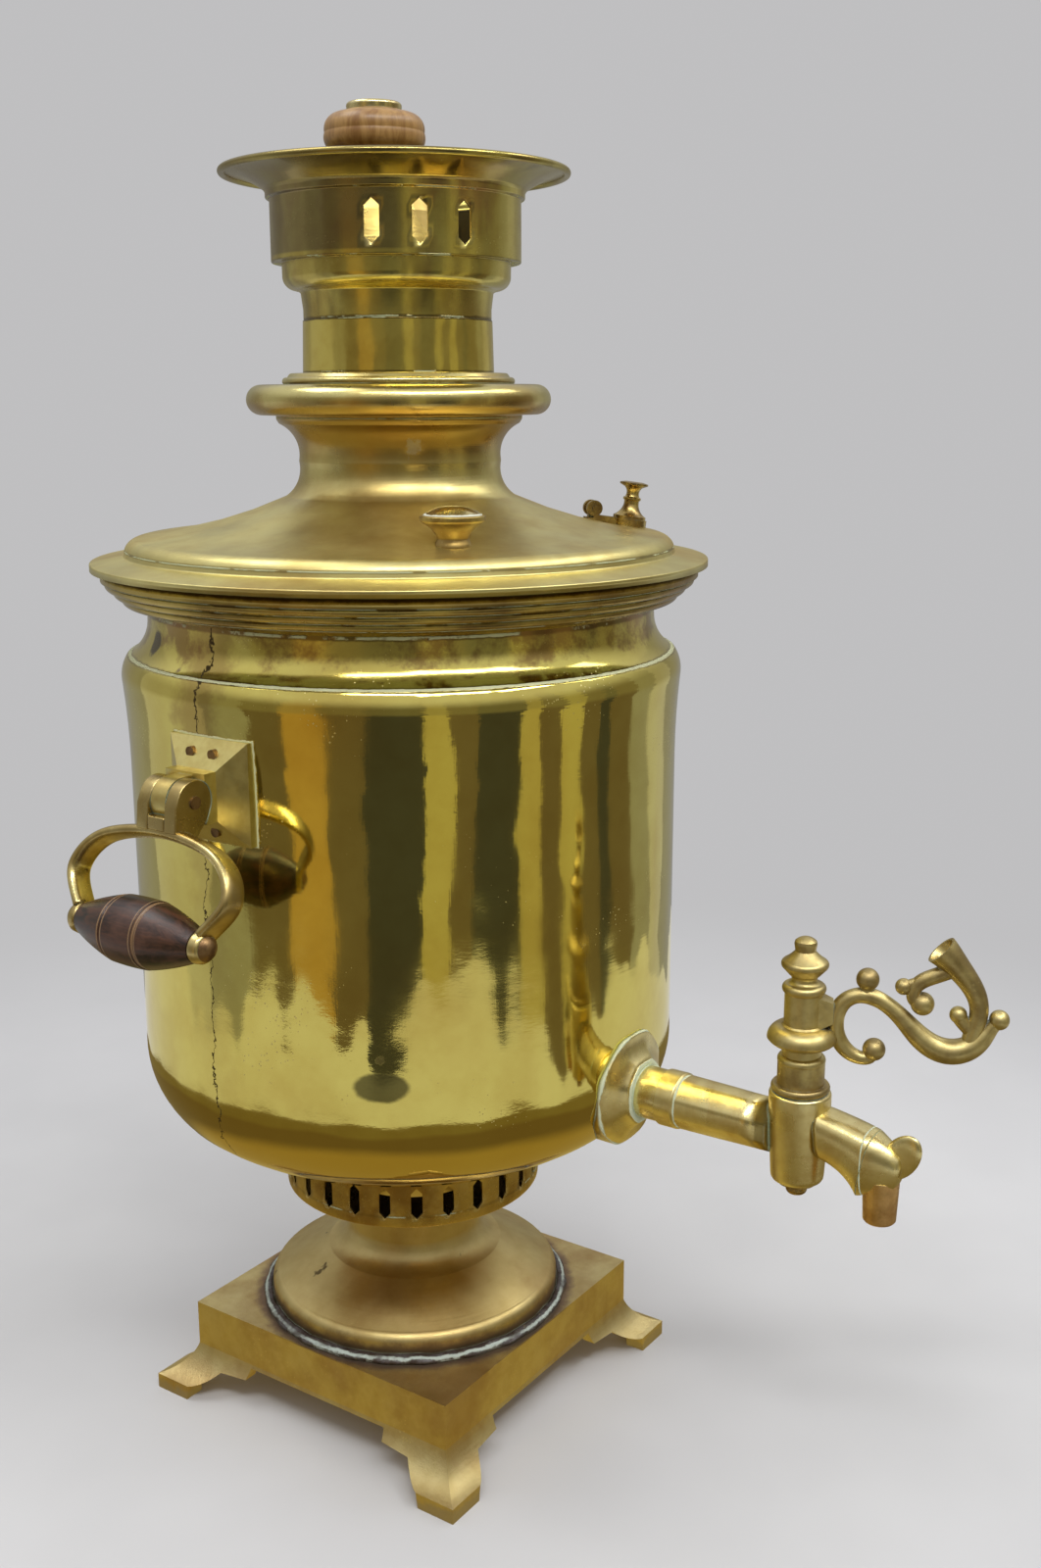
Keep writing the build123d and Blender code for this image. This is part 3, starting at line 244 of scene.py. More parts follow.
def dress(name, material):
    """Give a node of the frame its material."""
    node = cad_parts[name]
    for slot in node.material_slots:
        slot.material = material
    if not node.material_slots:
        node.data.materials.append(material)


def scuffed_feet(finish, colour, shine, green):
    """Grey bare metal low on the feet, where the lacquer and the brown have worn away on the table."""
    worn = finish.frayed(finish.axis("Z"), 0.012, 110.0, 5.0, 0.7, 0.33)
    worn = finish.fade(worn, 0.0085, 0.0125, 0.75, 0.0)
    colour = finish.mix(worn, colour, (0.44, 0.38, 0.28))
    out = finish.across(finish.axis("X"), finish.axis("Y"))
    out = finish.frayed(out, 0.007, 120.0, 5.0, 0.7, 0.2)
    halo = finish.times(finish.fade(out, 0.0700, 0.0745, 0.8, 0.0),
                        finish.fade(finish.axis("Z"), 0.0380, 0.0388))
    colour = finish.mix(halo, colour, (0.20, 0.13, 0.11))
    return colour, finish.maths("ADD", shine, finish.times(finish.maths("MAXIMUM", worn, halo), 0.2)), green


plinth_brass = tarnished_brass("cast_plinth_brass", (0.66, 0.54, 0.25), (0.48, 0.33, 0.14),
                               patches=(26.0, 0.42, 0.66, 0.8),
                               streaks=0.2, rough=(0.34, 0.46), dents=((46.0, 0.16),), scratches=0.5,
                               pits=0.35,
                               specks=0.5, corner_shade_and_grime=0.75, salts=0.15, extra=scuffed_feet)
dress("plinth", plinth_brass)


# Pedestal: spun from one disc of sheet into a domed foot and a neck, then soldered down to the plinth.
# The join is a ragged bead of solder, gone grey and green, with brown heat stains above it.
def corner_rounded(points, soft):
    """Round each marked corner of an outline over a short length, as a spun or turned edge is."""
    made = []
    for count, (r, z, corner) in enumerate(points):
        if not corner or count in (0, len(points) - 1):
            made.append((r, z))
            continue
        here = Vector((r, z))
        before, after = Vector(points[count - 1][:2]) - here, Vector(points[count + 1][:2]) - here
        if before.length < 1e-6 or after.length < 1e-6 or math.pi - before.angle(after) < 0.2:
            made.append((r, z))
            continue
        first = here + before.normalized() * min(soft, before.length * 0.45)
        last = here + after.normalized() * min(soft, after.length * 0.45)
        for part in (0.0, 0.33, 0.67, 1.0):
            spot = first * (1 - part) ** 2 + here * 2 * part * (1 - part) + last * part**2
            made.append((spot.x, spot.y))
    return made


def outline_of(path, soft):
    """Points of an outline: (r, z) is a straight run, ((r, z), (r, z)) an arc through the first to the
    second."""
    points = [(*path[0], True)]
    for step in path[1:]:
        if not isinstance(step[0], tuple):
            points.append((*step, True))
            continue
        a, m, b = Vector(points[-1][:2]), Vector(step[0]), Vector(step[1])
        d = 2 * (a.x * (m.y - b.y) + m.x * (b.y - a.y) + b.x * (a.y - m.y))
        cx = (a.length_squared * (m.y - b.y) + m.length_squared * (b.y - a.y)
              + b.length_squared * (a.y - m.y)) / d
        cy = (a.length_squared * (b.x - m.x) + m.length_squared * (a.x - b.x)
              + b.length_squared * (m.x - a.x)) / d
        centre = Vector((cx, cy))
        turn_all = (a - centre).angle_signed(b - centre)
        turn_half = (a - centre).angle_signed(m - centre)
        if turn_half * turn_all < 0 or abs(turn_half) > abs(turn_all):
            turn_all -= math.copysign(2 * math.pi, turn_all)
        steps = max(4, round(abs(turn_all) / 0.09))
        radius, start = (a - centre).length, math.atan2(a.y - cy, a.x - cx)
        for count in range(1, steps + 1):
            angle = start - turn_all * count / steps
            points.append((cx + radius * math.cos(angle), cy + radius * math.sin(angle), count == steps))
    return corner_rounded(points, soft)


def spokes(count, start=0.0):
    """The cosine and sine of each of some equal steps round a circle."""
    angles = [2 * math.pi * (step + start) / count for step in range(count)]
    return [(math.cos(angle), math.sin(angle)) for angle in angles]


def turned(name, path, soft=0.4, steps=160, closed=True):
    """A turned piece: an outline in millimetres swept round the upright axis."""
    points = outline_of(path, soft)
    if closed and (Vector(points[0]) - Vector(points[-1])).length < 1e-6:
        points.pop()
    verts, rings = [], []
    for r, z in points:
        if r < 1e-4:
            rings.append([len(verts)])
            verts.append((0.0, 0.0, z * 0.001))
            continue
        rings.append(list(range(len(verts), len(verts) + steps)))
        verts += [(r * 0.001 * c, r * 0.001 * d, z * 0.001) for c, d in spokes(steps)]
    faces = []
    pairs = list(zip(rings, rings[1:] + rings[:1])) if closed else list(zip(rings, rings[1:]))
    for low, high in pairs:
        if len(low) == 1 and len(high) == 1:
            continue
        for count in range(steps):
            after = (count + 1) % steps
            if len(low) == 1:
                faces.append((low[0], high[after], high[count]))
            elif len(high) == 1:
                faces.append((low[count], low[after], high[0]))
            else:
                faces.append((low[count], low[after], high[after], high[count]))
    return solid_piece(name, verts, faces)


def solid_piece(name, verts, faces):
    """A new smooth-shaded mesh object whose broad faces keep their own normals."""
    mesh = bpy.data.meshes.new(name)
    mesh.from_pydata(verts, [], faces)
    work = bmesh.new()
    work.from_mesh(mesh)
    bmesh.ops.remove_doubles(work, verts=work.verts, dist=1e-7)
    bmesh.ops.recalc_face_normals(work, faces=work.faces)
    work.to_mesh(mesh)
    work.free()
    mesh.polygons.foreach_set("use_smooth", [True] * len(mesh.polygons))
    piece = bpy.data.objects.new(name, mesh)
    bpy.context.scene.collection.objects.link(piece)
    weighted = piece.modifiers.new("even_normals", "WEIGHTED_NORMAL")
    weighted.keep_sharp = True
    return piece


def fitted(piece, material, body, *nodes, slot=None):
    """Hang a piece on its body in place of the nodes that it stands for."""
    piece.data.materials.clear()
    piece.data.materials.append(material)
    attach(piece, body)
    if nodes:
        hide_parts(*nodes)
    return piece


pedestal_outline = [
    (62.0, 39.0), (62.0, 45.5), ((61.3, 48.2), (58.8, 50.2)), ((48.0, 56.2), (37.4, 61.4)),
    ((29.9, 65.4), (27.4, 72.0)),
    (27.6, 82.6), ((30.9, 89.1), (36.7, 93.6)), (35.0, 93.6), ((29.2, 89.3), (26.2, 82.8)), (26.0, 71.6),
    ((28.6, 64.5), (36.6, 60.1)), ((47.3, 54.9), (58.3, 48.9)), (60.6, 45.0), (60.6, 39.0),
]


def solder_heat(finish, colour, shine, green):
    """Purple-brown heat stain on the foot, just above the solder, and a few dark runs from the neck."""
    stain = finish.frayed(finish.axis("Z"), 0.010, 95.0, 5.0, 0.65, 0.2)
    stain = finish.fade(stain, 0.0490, 0.0535, 0.75, 0.0)
    colour = finish.mix(stain, colour, (0.16, 0.10, 0.075))
    runs = finish.fade(finish.noise(75.0, 3.0, 0.6, (1.0, 1.0, 0.22), 0.52), 0.70, 0.74, 0.0, 0.8)
    return finish.mix(runs, colour, (0.07, 0.045, 0.02)), finish.maths("ADD", shine,
                                                                       finish.times(stain, 0.12)), green


pedestal_brass = tarnished_brass("pedestal_brass", (0.64, 0.51, 0.22), (0.50, 0.35, 0.14),
                                 patches=(20.0, 0.42, 0.68, 0.8),
                                 rough=(0.34, 0.46), dents=((30.0, 0.14),), turned=0.6, extra=solder_heat)
fitted(turned("pedestal_foot", pedestal_outline + [pedestal_outline[0]]), pedestal_brass, "vessel",
       "pedestal",
       slot="spun_brass")


def solder_bead():
    """The solder round the foot: a flattened bead whose width and height wander."""
    verts, faces, steps, sides = [], [], 240, 10
    for count in range(steps):
        angle = 2 * math.pi * count / steps
        wander = 0.5 * math.sin(7 * angle + 1.0) + 0.35 * math.sin(17 * angle)
        wander += 0.3 * math.sin(31 * angle + 2.0)
        for side in range(sides):
            turn = 2 * math.pi * side / sides
            width, rise = 2.2 + 0.4 * wander, 1.6 + 0.22 * wander * math.cos(5 * angle)
            r = 64.0 + width * math.cos(turn) + 0.3 * math.sin(23 * angle)
            z = 39.0 + max(0.0, rise * (1.0 + math.sin(turn)) * (1.0 - 0.22 * math.cos(turn)))
            r = max(r, 62.02)
            verts.append((r * 0.001 * math.cos(angle), r * 0.001 * math.sin(angle), z * 0.001))
            first, after = count * sides + side, (count + 1) % steps * sides + side
            shift = 1 if side < sides - 1 else 1 - sides
            faces.append((first, after, after + shift, first + shift))
    return solid_piece("solder_bead", verts, faces)


def solder_edges(finish, colour, shine, green):
    """Pale green and white salts along the outer foot of the bead, and grey oxide on its crown."""
    out = finish.across(finish.axis("X"), finish.axis("Y"))
    out = finish.frayed(out, 0.0022, 210.0, 4.0, 0.7, 0.2)
    line = finish.away(out, 0.0662)
    broken = finish.fade(finish.noise(45.0, 4.0, 0.7, shift=0.6), 0.36, 0.54, 0.15, 0.9)
    line = finish.times(finish.fade(line, 0.0003, 0.0009), -1.0)
    return colour, shine, finish.maths("MAXIMUM", green, finish.times(finish.maths("ADD", line, 1.0), broken))


solder = tarnished_brass("old_solder", (0.16, 0.15, 0.155), (0.09, 0.065, 0.055),
                         patches=(120.0, 0.42, 0.60, 0.9),
                         rough=(0.42, 0.62), scratches=0.0, pits=0.9, corner_shade_and_grime=0.7, salts=0.6,
                         salt_tint=(0.56, 0.64, 0.58), extra=solder_edges)
fitted(solder_bead(), solder, "vessel", "solder_ring", slot="solder")


# Air collar: a band of sheet pierced with pointed slots, which lets the draught in below the fire.
# The slots were struck with a punch from outside.
def pierced_band(outer, inner, low, high, slots, half_width, levels):
    """A round band between two radii, cut by pointed slots at angles in degrees from -Y towards +X."""
    spans = []
    for middle in sorted(slots):
        spans.append((middle - half_width, middle, middle + half_width))
    verts, faces = [], []

    def spot(radius, degree, z):
        angle = math.radians(degree)
        verts.append((radius * 0.001 * math.sin(angle), -radius * 0.001 * math.cos(angle), z * 0.001))
        return len(verts) - 1

    def column(start, end, z_start, z_end, radius):
        """Quads between two uprights; each upright has the same number of heights."""
        left = [spot(radius, start, z) for z in z_start]
        right = [spot(radius, end, z) for z in z_end]
        for count in range(len(left) - 1):
            if not (len(left) == 4 and count == 1):
                faces.append((left[count], right[count], right[count + 1], left[count + 1]))
        return left, right

    low_tip, low_side, high_side, high_tip = levels
    for radius in (outer, inner):
        for count, (start, middle, end) in enumerate(spans):
            column(start, middle, (low, low_side, high_side, high), (low, low_tip, high_tip, high), radius)
            column(middle, end, (low, low_tip, high_tip, high), (low, low_side, high_side, high), radius)
            following = spans[(count + 1) % len(spans)][0] + (360 if count == len(spans) - 1 else 0)
            pieces = max(1, round((following - end) / 3.0))
            for part in range(pieces):
                a = end + (following - end) * part / pieces
                b = end + (following - end) * (part + 1) / pieces
                column(a, b, (low, low_side, (low_side + high_side) / 2, high_side, high),
                       (low, low_side, (low_side + high_side) / 2, high_side, high), radius)
    for start, middle, end in spans:
        ring = [(start, low_side), (middle, low_tip), (end, low_side), (end, high_side), (middle, high_tip),
                (start, high_side)]
        for (da, za), (db, zb) in zip(ring, ring[1:] + ring[:1]):
            faces.append((spot(outer, da, za), spot(outer, db, zb), spot(inner, db, zb), spot(inner, da, za)))
    return verts, faces


def pierced_piece(name, rings, *band):
    """A turned piece with a pierced band let in: the outlines above and below the band close it."""
    verts, faces = pierced_band(*band)
    piece = solid_piece(name, verts, faces)
    parts = [piece]
    for count, (path, soft) in enumerate(rings):
        parts.append(turned(f"{name}_{count}", path, soft, closed=False))
        parts[-1].modifiers.clear()
    with bpy.context.temp_override(active_object=piece, selected_editable_objects=parts,
                                   selected_objects=parts):
        bpy.ops.object.join()
    return piece


collar_brass = tarnished_brass("collar_brass", (0.66, 0.49, 0.16), (0.32, 0.18, 0.05),
                               patches=(34.0, 0.42, 0.66, 0.8),
                               rough=(0.20, 0.34), dents=((40.0, 0.12),), turned=0.4, salts=0.5,
                               seam_and_shadow_lines=((120.5, 1.0, 0.7, 0.35), (98.2, 0.8, 0.25, 0.35)))
collar_slots = [(step + 0.37) * 360 / 26 for step in range(26)]
collar = pierced_piece(
    "air_collar_band",
    [([(54.0, 96.2), (54.0, 93.6), (30.0, 93.6), (30.0, 95.0), (52.6, 95.0), (52.6, 96.2)], 0.5),
     ([(54.0, 119.0), (54.0, 120.6), (52.6, 120.6), (52.6, 119.0)], 0.3)],
    54.0, 52.6, 96.2, 119.0, collar_slots, math.degrees(2.35 / 54.0), (97.2, 99.6, 108.3, 110.7),
)
fitted(collar, collar_brass, "vessel", "air_collar", slot="spun_brass")


# Body: the water vessel, spun and planished from one sheet, polished but dented by long use.
# A line of green salts sits in the step below the shoulder, and stains run down from the top ring.
body_outline = [
    (46.0, 120.6), (59.0, 120.6), ((85.4, 127.6), (99.4, 137.1)), ((106.2, 147.6), (109.4, 164.6)),
    (109.4, 280.1),
    ((109.8, 296.1), (111.0, 312.1)), ((110.7, 317.9), (108.6, 322.3)), (107.5, 322.6),
    ((102.3, 328.2), (100.2, 336.2)),
    (99.6, 345.0), (99.6, 352.1), (98.2, 352.1), (98.2, 333.0), ((99.5, 326.6), (105.6, 321.3)),
    ((108.7, 317.9), (109.6, 312.1)),
    ((108.4, 296.1), (108.0, 280.1)), (108.0, 164.8), ((104.8, 148.4), (98.4, 138.1)),
    ((84.8, 128.9), (58.8, 122.0)),
    (46.0, 122.0),
]


def body_marks(finish, colour, shine, green):
    """The brazed seam behind the left handle, stains beside it, salts round the plates, and a brown
    underside, partly tarnish and partly a painted reflection of a brass basin."""
    x, y, z = (finish.axis(letter) for letter in "XYZ")
    wander = finish.frayed(-0.0045, 0.020, 38.0, 5.0, 0.75, 0.9)
    off = finish.away(y, wander)
    left = finish.maths("LESS_THAN", x, -0.05)
    width = finish.fade(z, 0.270, 0.335, 0.00030, 0.0006)
    crack = finish.times(left, finish.fade(finish.maths("DIVIDE", off, width), 0.5, 1.3, 0.9, 0.0))
    halo = finish.fade(finish.frayed(off, -0.022, 60.0, 4.0, 0.7, 0.1), -0.008, 0.004, 0.6, 0.0)
    halo = finish.times(finish.times(left, halo), finish.fade(z, 0.20, 0.33, 0.2, 0.95))
    colour = finish.mix(halo, colour, (0.30, 0.16, 0.06))
    stain = finish.frayed(finish.fade(z, 0.318, 0.334, -0.20, 0.12), 1.0, 46.0, 5.0, 0.7, 0.45)
    colour = finish.mix(finish.fade(stain, 0.52, 0.70, 0.0, 0.75), colour, (0.27, 0.14, 0.055))
    for spot, reach, tint in (
        ((-0.0921, 0.0461, 0.3311), 0.0050, (0.07, 0.055, 0.06)),
        ((-0.1018, 0.0207, 0.3224), 0.0026, (0.22, 0.13, 0.12)),
        ((-0.0930, -0.0600, 0.1893), 0.0022, (0.30, 0.24, 0.08)),
    ):
        edge = finish.frayed(finish.near(spot), reach * 0.7, 230.0, 4.0, 0.7, 0.3)
        inside = finish.fade(edge, reach * 1.15, reach * 1.5, 0.88, 0.0)
        colour = finish.mix(inside, colour, tint)
        shine = finish.maths("MULTIPLY_ADD", inside, 0.18, shine)
    aside = finish.maths("ADD", finish.times(x, 0.5455), finish.times(y, -0.8381))
    aside = finish.maths("POWER", aside, 2.0)
    above = finish.maths("POWER", finish.maths("SUBTRACT", z, 0.1786), 2.0)
    oval = finish.maths("SQRT", finish.maths("ADD", aside, finish.times(above, 3.2)))
    oval = finish.frayed(oval, 0.004, 120.0, 3.0, 0.6, 0.3)
    oval = finish.times(left, finish.fade(oval, 0.0105, 0.0135, 0.88, 0.0))
    colour = finish.mix(oval, colour, (0.15, 0.13, 0.045))
    shine = finish.maths("ADD", finish.maths("MULTIPLY_ADD", oval, 0.12, shine),
                         finish.fade(z, 0.3210, 0.3235, 0.0, 0.07))
    # The brown below the lower turn is partly tarnish and partly a painted reflection of a brass basin.
    under = finish.frayed(z, 0.012, 16.0, 3.0, 0.5, 0.6)
    colour = finish.mix(finish.fade(under, 0.1640, 0.1665, 0.75, 0.0), colour, (0.52, 0.37, 0.10))
    aside = finish.maths("MAXIMUM", finish.maths("ABSOLUTE", y), finish.away(z, 0.2844))
    edge = finish.frayed(aside, 0.0022, 190.0, 4.0, 0.7, 0.8)
    caked = finish.times(finish.fade(edge, 0.0202, 0.0208, 0.95, 0.0),
                         finish.maths("GREATER_THAN", finish.maths("ABSOLUTE", x), 0.09))
    green = finish.maths("MAXIMUM", green, caked)
    colour = finish.mix(crack, colour, (0.045, 0.028, 0.015))
    return colour, finish.maths("MULTIPLY_ADD", crack, 0.5, shine), green


body_brass = tarnished_brass("body_brass", (0.78, 0.67, 0.18), (0.60, 0.42, 0.10),
                             patches=(9.0, 0.46, 0.72, 0.45), streaks=0.30,
                             rough=(0.035, 0.10), dents=((13.0, 0.45), (34.0, 0.14)), scratches=0.16,
                             specks=0.7,
                             corner_shade_and_grime=0.3, salts=0.6, seam_and_shadow_lines=((322.7, 0.9, 0.55, 0.9), (339.4, 1.4, 0.8, 0.35)),
                             salt_tint=(0.66, 0.68, 0.44), extra=body_marks)
fitted(turned("body_sheet", body_outline + [body_outline[0]], soft=0.5, steps=240), body_brass, "vessel",
       "body_shell",
       slot="spun_brass")


# Top ring: a band of brass with three reeds turned in its edge, slipped over the neck.
# The lid's rim rests on its flat top.
ring_outline = [(117.2, 355.5), (117.2, 351.3)]
for count in range(3):
    ring_r, ring_z = 114.8 - 3.1 * count, 351.3 - 2.9 * count
    ring_outline += [(ring_r, ring_z), ((ring_r + 0.9, ring_z - 1.45), (ring_r, ring_z - 2.9))]
ring_outline += [(103.2, 342.6), ((100.6, 340.8), (99.6, 339.6)), (99.6, 352.1), (98.2, 352.1), (98.2, 355.5),
                 (117.2, 355.5)]
# Dark lines with a few salts in the grooves between the reeds.
reed_groove_lines = [(height, 0.5, 0.8, 0.5) for height in (351.3, 348.4, 345.5)]
# The broad dark line at the ring's top edge (355.6 mm) is painted shadow in the gap under the lid's rim.
ring_brass = tarnished_brass("ring_brass", (0.56, 0.43, 0.13), (0.24, 0.14, 0.05),
                             patches=(14.0, 0.38, 0.60, 0.85),
                             rough=(0.16, 0.28), dents=((30.0, 0.1),), turned=0.4,
                             seam_and_shadow_lines=((355.6, 2.4, 0.97, 0.0), *reed_groove_lines, (342.6, 0.6, 0.8, 0.5)))
fitted(turned("top_ring_reeds", ring_outline, soft=0.35, steps=240), ring_brass, "vessel", "top_ring",
       slot="ring_brass")


# Fire tube and grate: the iron tube that runs up through the water, scaled and sooty, and the cast disc that
# holds the charcoal. They show only through the collar's slots, the pedestal and the flue.
def sooty_iron(name):
    """Sheet and cast iron, black with soot and rusty where it has scaled."""
    finish = Finish(name, metallic=0.6)
    scale = finish.noise(90.0, 8.0, 0.6)
    colour = finish.mix(finish.fade(scale, 0.35, 0.70), (0.012, 0.011, 0.010), (0.075, 0.048, 0.032))
    finish.bump(scale, 0.0008, 0.6)
    return finish.done(colour, finish.maths("MULTIPLY_ADD", scale, 0.3, 0.6))


iron = sooty_iron("sooty_iron")
dress("fire_tube", iron)
dress("grate", iron)


# Chimney sleeve: a bright tube of brass sheet over the iron chimney.
# It has a thin dark line with a few salts where the crown stands on it, and another lower down.
sleeve_outline = [(34.3, 402.1), (37.7, 402.1), (36.4, 448.1), (34.3, 448.1), (34.3, 402.1)]
sleeve_brass = tarnished_brass("sleeve_brass", (0.82, 0.68, 0.18), (0.50, 0.31, 0.07),
                               patches=(22.0, 0.52, 0.74, 0.6),
                               rough=(0.10, 0.20), dents=((28.0, 0.5), (70.0, 0.10)),
                               seam_and_shadow_lines=((448.0, 0.6, 0.9, 0.25), (428.8, 0.7, 0.6, 0.25)))
fitted(turned("chimney_sleeve_sheet", sleeve_outline, soft=0.3), sleeve_brass, "vessel", "chimney_sleeve",
       slot="chimney_brass")


# Lid: one spun sheet with a flat rim, a stepped edge, a low dome, a neck and a hollow rolled bolster.
# Its spigot fits inside the vessel's mouth.
lid_outline = [
    (120.9, 355.5), (120.9, 358.1), (108.0, 360.5), (107.4, 363.2), ((106.0, 365.2), (101.5, 366.8)),
    ((63.5, 374.9), (45.1, 381.9)), ((40.8, 386.5), (39.5, 395.5)), ((40.7, 404.0), (46.8, 409.7)),
    (47.8, 411.3),
    (47.8, 412.9), (53.3, 412.9), ((59.0, 418.6), (53.3, 424.3)), (44.4, 424.3),
    ((45.0, 425.7), (43.2, 426.9)),
    (42.0, 428.5), (38.1, 428.5), (38.1, 427.1), (41.8, 427.1), (41.8, 422.9), (53.3, 422.9),
    ((57.6, 418.6), (53.3, 414.3)),
    (46.4, 414.3), (45.4, 409.7), ((39.3, 404.0), (38.1, 395.5)), ((39.4, 385.8), (44.7, 380.5)),
    ((63.5, 373.5), (96.4, 366.0)), (96.4, 348.0), (97.8, 348.0), (97.8, 355.5), (120.9, 355.5),
]


def browned_neck(finish, colour, shine, green):
    """The neck and the underside of the bolster, browned by the heat of the chimney; a flaking spot on the
    neck."""
    level = finish.frayed(finish.axis("Z"), 0.016, 30.0, 4.0, 0.6, 0.35)
    brown = finish.times(finish.fade(level, 0.398, 0.412, 0.0, 0.80),
                         finish.fade(level, 0.424, 0.430, 1.0, 0.0))
    colour = finish.mix(brown, colour, (0.42, 0.25, 0.06))
    edge = finish.frayed(finish.near((-0.0288, -0.0290, 0.4010)), 0.012, 190.0, 6.0, 0.8, 0.3)
    flake = finish.fade(edge, 0.0085, 0.0098, 0.75, 0.0)
    colour = finish.mix(flake, colour, (0.60, 0.52, 0.36))
    shine = finish.maths("ADD", shine, finish.fade(level, 0.384, 0.404, 0.15, 0.0))
    return colour, finish.maths("MULTIPLY_ADD", flake, 0.35,
                                finish.maths("MULTIPLY_ADD", brown, 0.06, shine)), green


lid_brass = tarnished_brass("lid_brass", (0.76, 0.68, 0.29), (0.54, 0.40, 0.14),
                            patches=(15.0, 0.42, 0.68, 0.8),
                            rough=(0.16, 0.28), extra=browned_neck, dents=((20.0, 0.10),), scratches=0.4,
                            turned=0.5,
                            seam_and_shadow_lines=((362.6, 0.6, 0.5, 0.5), (412.0, 0.5, 0.6, 0.5), (424.6, 0.5, 0.7, 0.5)))
fitted(turned("lid_sheet", lid_outline, soft=0.5, steps=240), lid_brass, "lid", "lid", "lid_bolster",
       slot="lid_brass")


# Lid knobs: two turned brass cups, each with a bright domed disc let in to its top.
# They are screwed through the lid and held by nuts below it.
knob_brass = tarnished_brass("knob_brass", (0.62, 0.48, 0.17), (0.28, 0.16, 0.05),
                             patches=(110.0, 0.42, 0.62, 0.8),
                             rough=(0.2, 0.34), turned=0.5, corner_shade_and_grime=0.85, salts=0.3)
bright_brass = tarnished_brass("bright_brass", (0.82, 0.72, 0.38), (0.50, 0.37, 0.16),
                               patches=(90.0, 0.44, 0.64, 0.7),
                               rough=(0.16, 0.28), salts=0.7, salt_tint=(0.70, 0.72, 0.62),
                               seam_and_shadow_lines=((379.7, 1.5, 0.0, 0.95),))
cup_brass = tarnished_brass("cup_brass", (0.60, 0.46, 0.15), (0.34, 0.22, 0.07),
                            patches=(90.0, 0.42, 0.62, 0.8),
                            rough=(0.30, 0.42), turned=0.5, corner_shade_and_grime=0.9, salts=0.3)
cup_outline = [(0, 361.0), (5.3, 361.0), (5.5, 364.2), (4.7, 365.2), ((6.5, 367.4), (6.2, 370.2)),
               (5.5, 371.6),
               ((7.2, 374.4), (10.9, 377.2)), (11.6, 377.9), (11.6, 379.4), (11.0, 379.8), (10.4, 379.4),
               (0, 379.4)]
disc_outline = [(0, 378.8), (10.2, 378.8), (10.3, 379.9), ((6.6, 381.9), (0, 382.7))]
for side, sign in (("front", -1), ("rear", 1)):
    cup = turned(f"knob_cup_{side}", cup_outline, soft=0.25, steps=96)
    disc = turned(f"knob_disc_{side}", disc_outline, soft=0.2, steps=96)
    for knob_piece in (cup, disc):
        knob_piece.data.transform(Matrix.Translation((sign * 0.05245, sign * 0.06475, 0.0)))
    fitted(cup, cup_brass, "lid", f"lid_knob_{side}", slot="turned_brass")
    fitted(disc, bright_brass, "lid", f"lid_knob_disc_{side}", slot="polished_brass")
dress("lid_knob_nuts", knob_brass)


# Steam vent: a small turned brass cap on a strap, hinged by a pin to a seat on the lid.
# It covers a hole that lets the steam out.
vent_brass = tarnished_brass("vent_brass", (0.66, 0.51, 0.18), (0.24, 0.15, 0.06),
                             patches=(130.0, 0.42, 0.60, 0.8),
                             rough=(0.2, 0.34), corner_shade_and_grime=0.9, salts=0.7, salt_tint=(0.36, 0.46, 0.38))
for name in ("vent_seat", "vent_pin", "vent_flap", "vent_cap"):
    dress(name, vent_brass)


# Crown: the pierced stand on the chimney that carries the teapot, spun from one sheet of brass.
# It has a wired rim and three groups of slots.
def heat_tints(finish, colour, shine, green):
    """Soot inside the crown, red-brown and dark tints where the fire's heat has coloured the drum, and
    painted shade down the drum's -X side.
    """
    out = finish.maths("ADD", finish.maths("POWER", finish.axis("X"), 2.0),
                       finish.maths("POWER", finish.axis("Y"), 2.0))
    inside = finish.maths("LESS_THAN", out, 0.0465**2)
    low = finish.maths("GREATER_THAN", finish.axis("Z"), 0.4702)
    inside = finish.times(finish.times(inside, low), finish.maths("LESS_THAN", finish.axis("Z"), 0.4930))
    tint = finish.fade(finish.noise(26.0, 5.0, 0.6, (1.0, 1.0, 0.5), 0.62), 0.52, 0.70, 0.0, 0.7)
    colour = finish.mix(tint, colour, (0.36, 0.17, 0.09))
    dark = finish.fade(finish.noise(30.0, 4.0, 0.6, (1.0, 1.0, 0.3), 0.81), 0.54, 0.66, 0.0, 0.6)
    colour = finish.mix(dark, colour, (0.20, 0.15, 0.06))
    # Painted shade: a darker band down the drum's -X side.
    painted_side_shade = finish.frayed(finish.axis("X"), 0.016, 40.0, 4.0, 0.6, 0.21, (1.0, 1.0, 0.4))
    painted_side_shade = finish.times(finish.fade(painted_side_shade, -0.034, -0.022, 0.6, 0.0),
                         finish.fade(finish.axis("Z"), 0.4705, 0.4715))
    colour = finish.mix(painted_side_shade, colour, (0.16, 0.13, 0.09))
    flare = finish.fade(finish.axis("Z"), 0.4935, 0.4955, 0.0, 0.55)
    colour = finish.mix(flare, colour, (0.34, 0.27, 0.08))
    colour = finish.mix(finish.times(inside, 0.9), colour, (0.035, 0.025, 0.015))
    return colour, finish.maths("MULTIPLY_ADD", inside, 0.4, shine), green


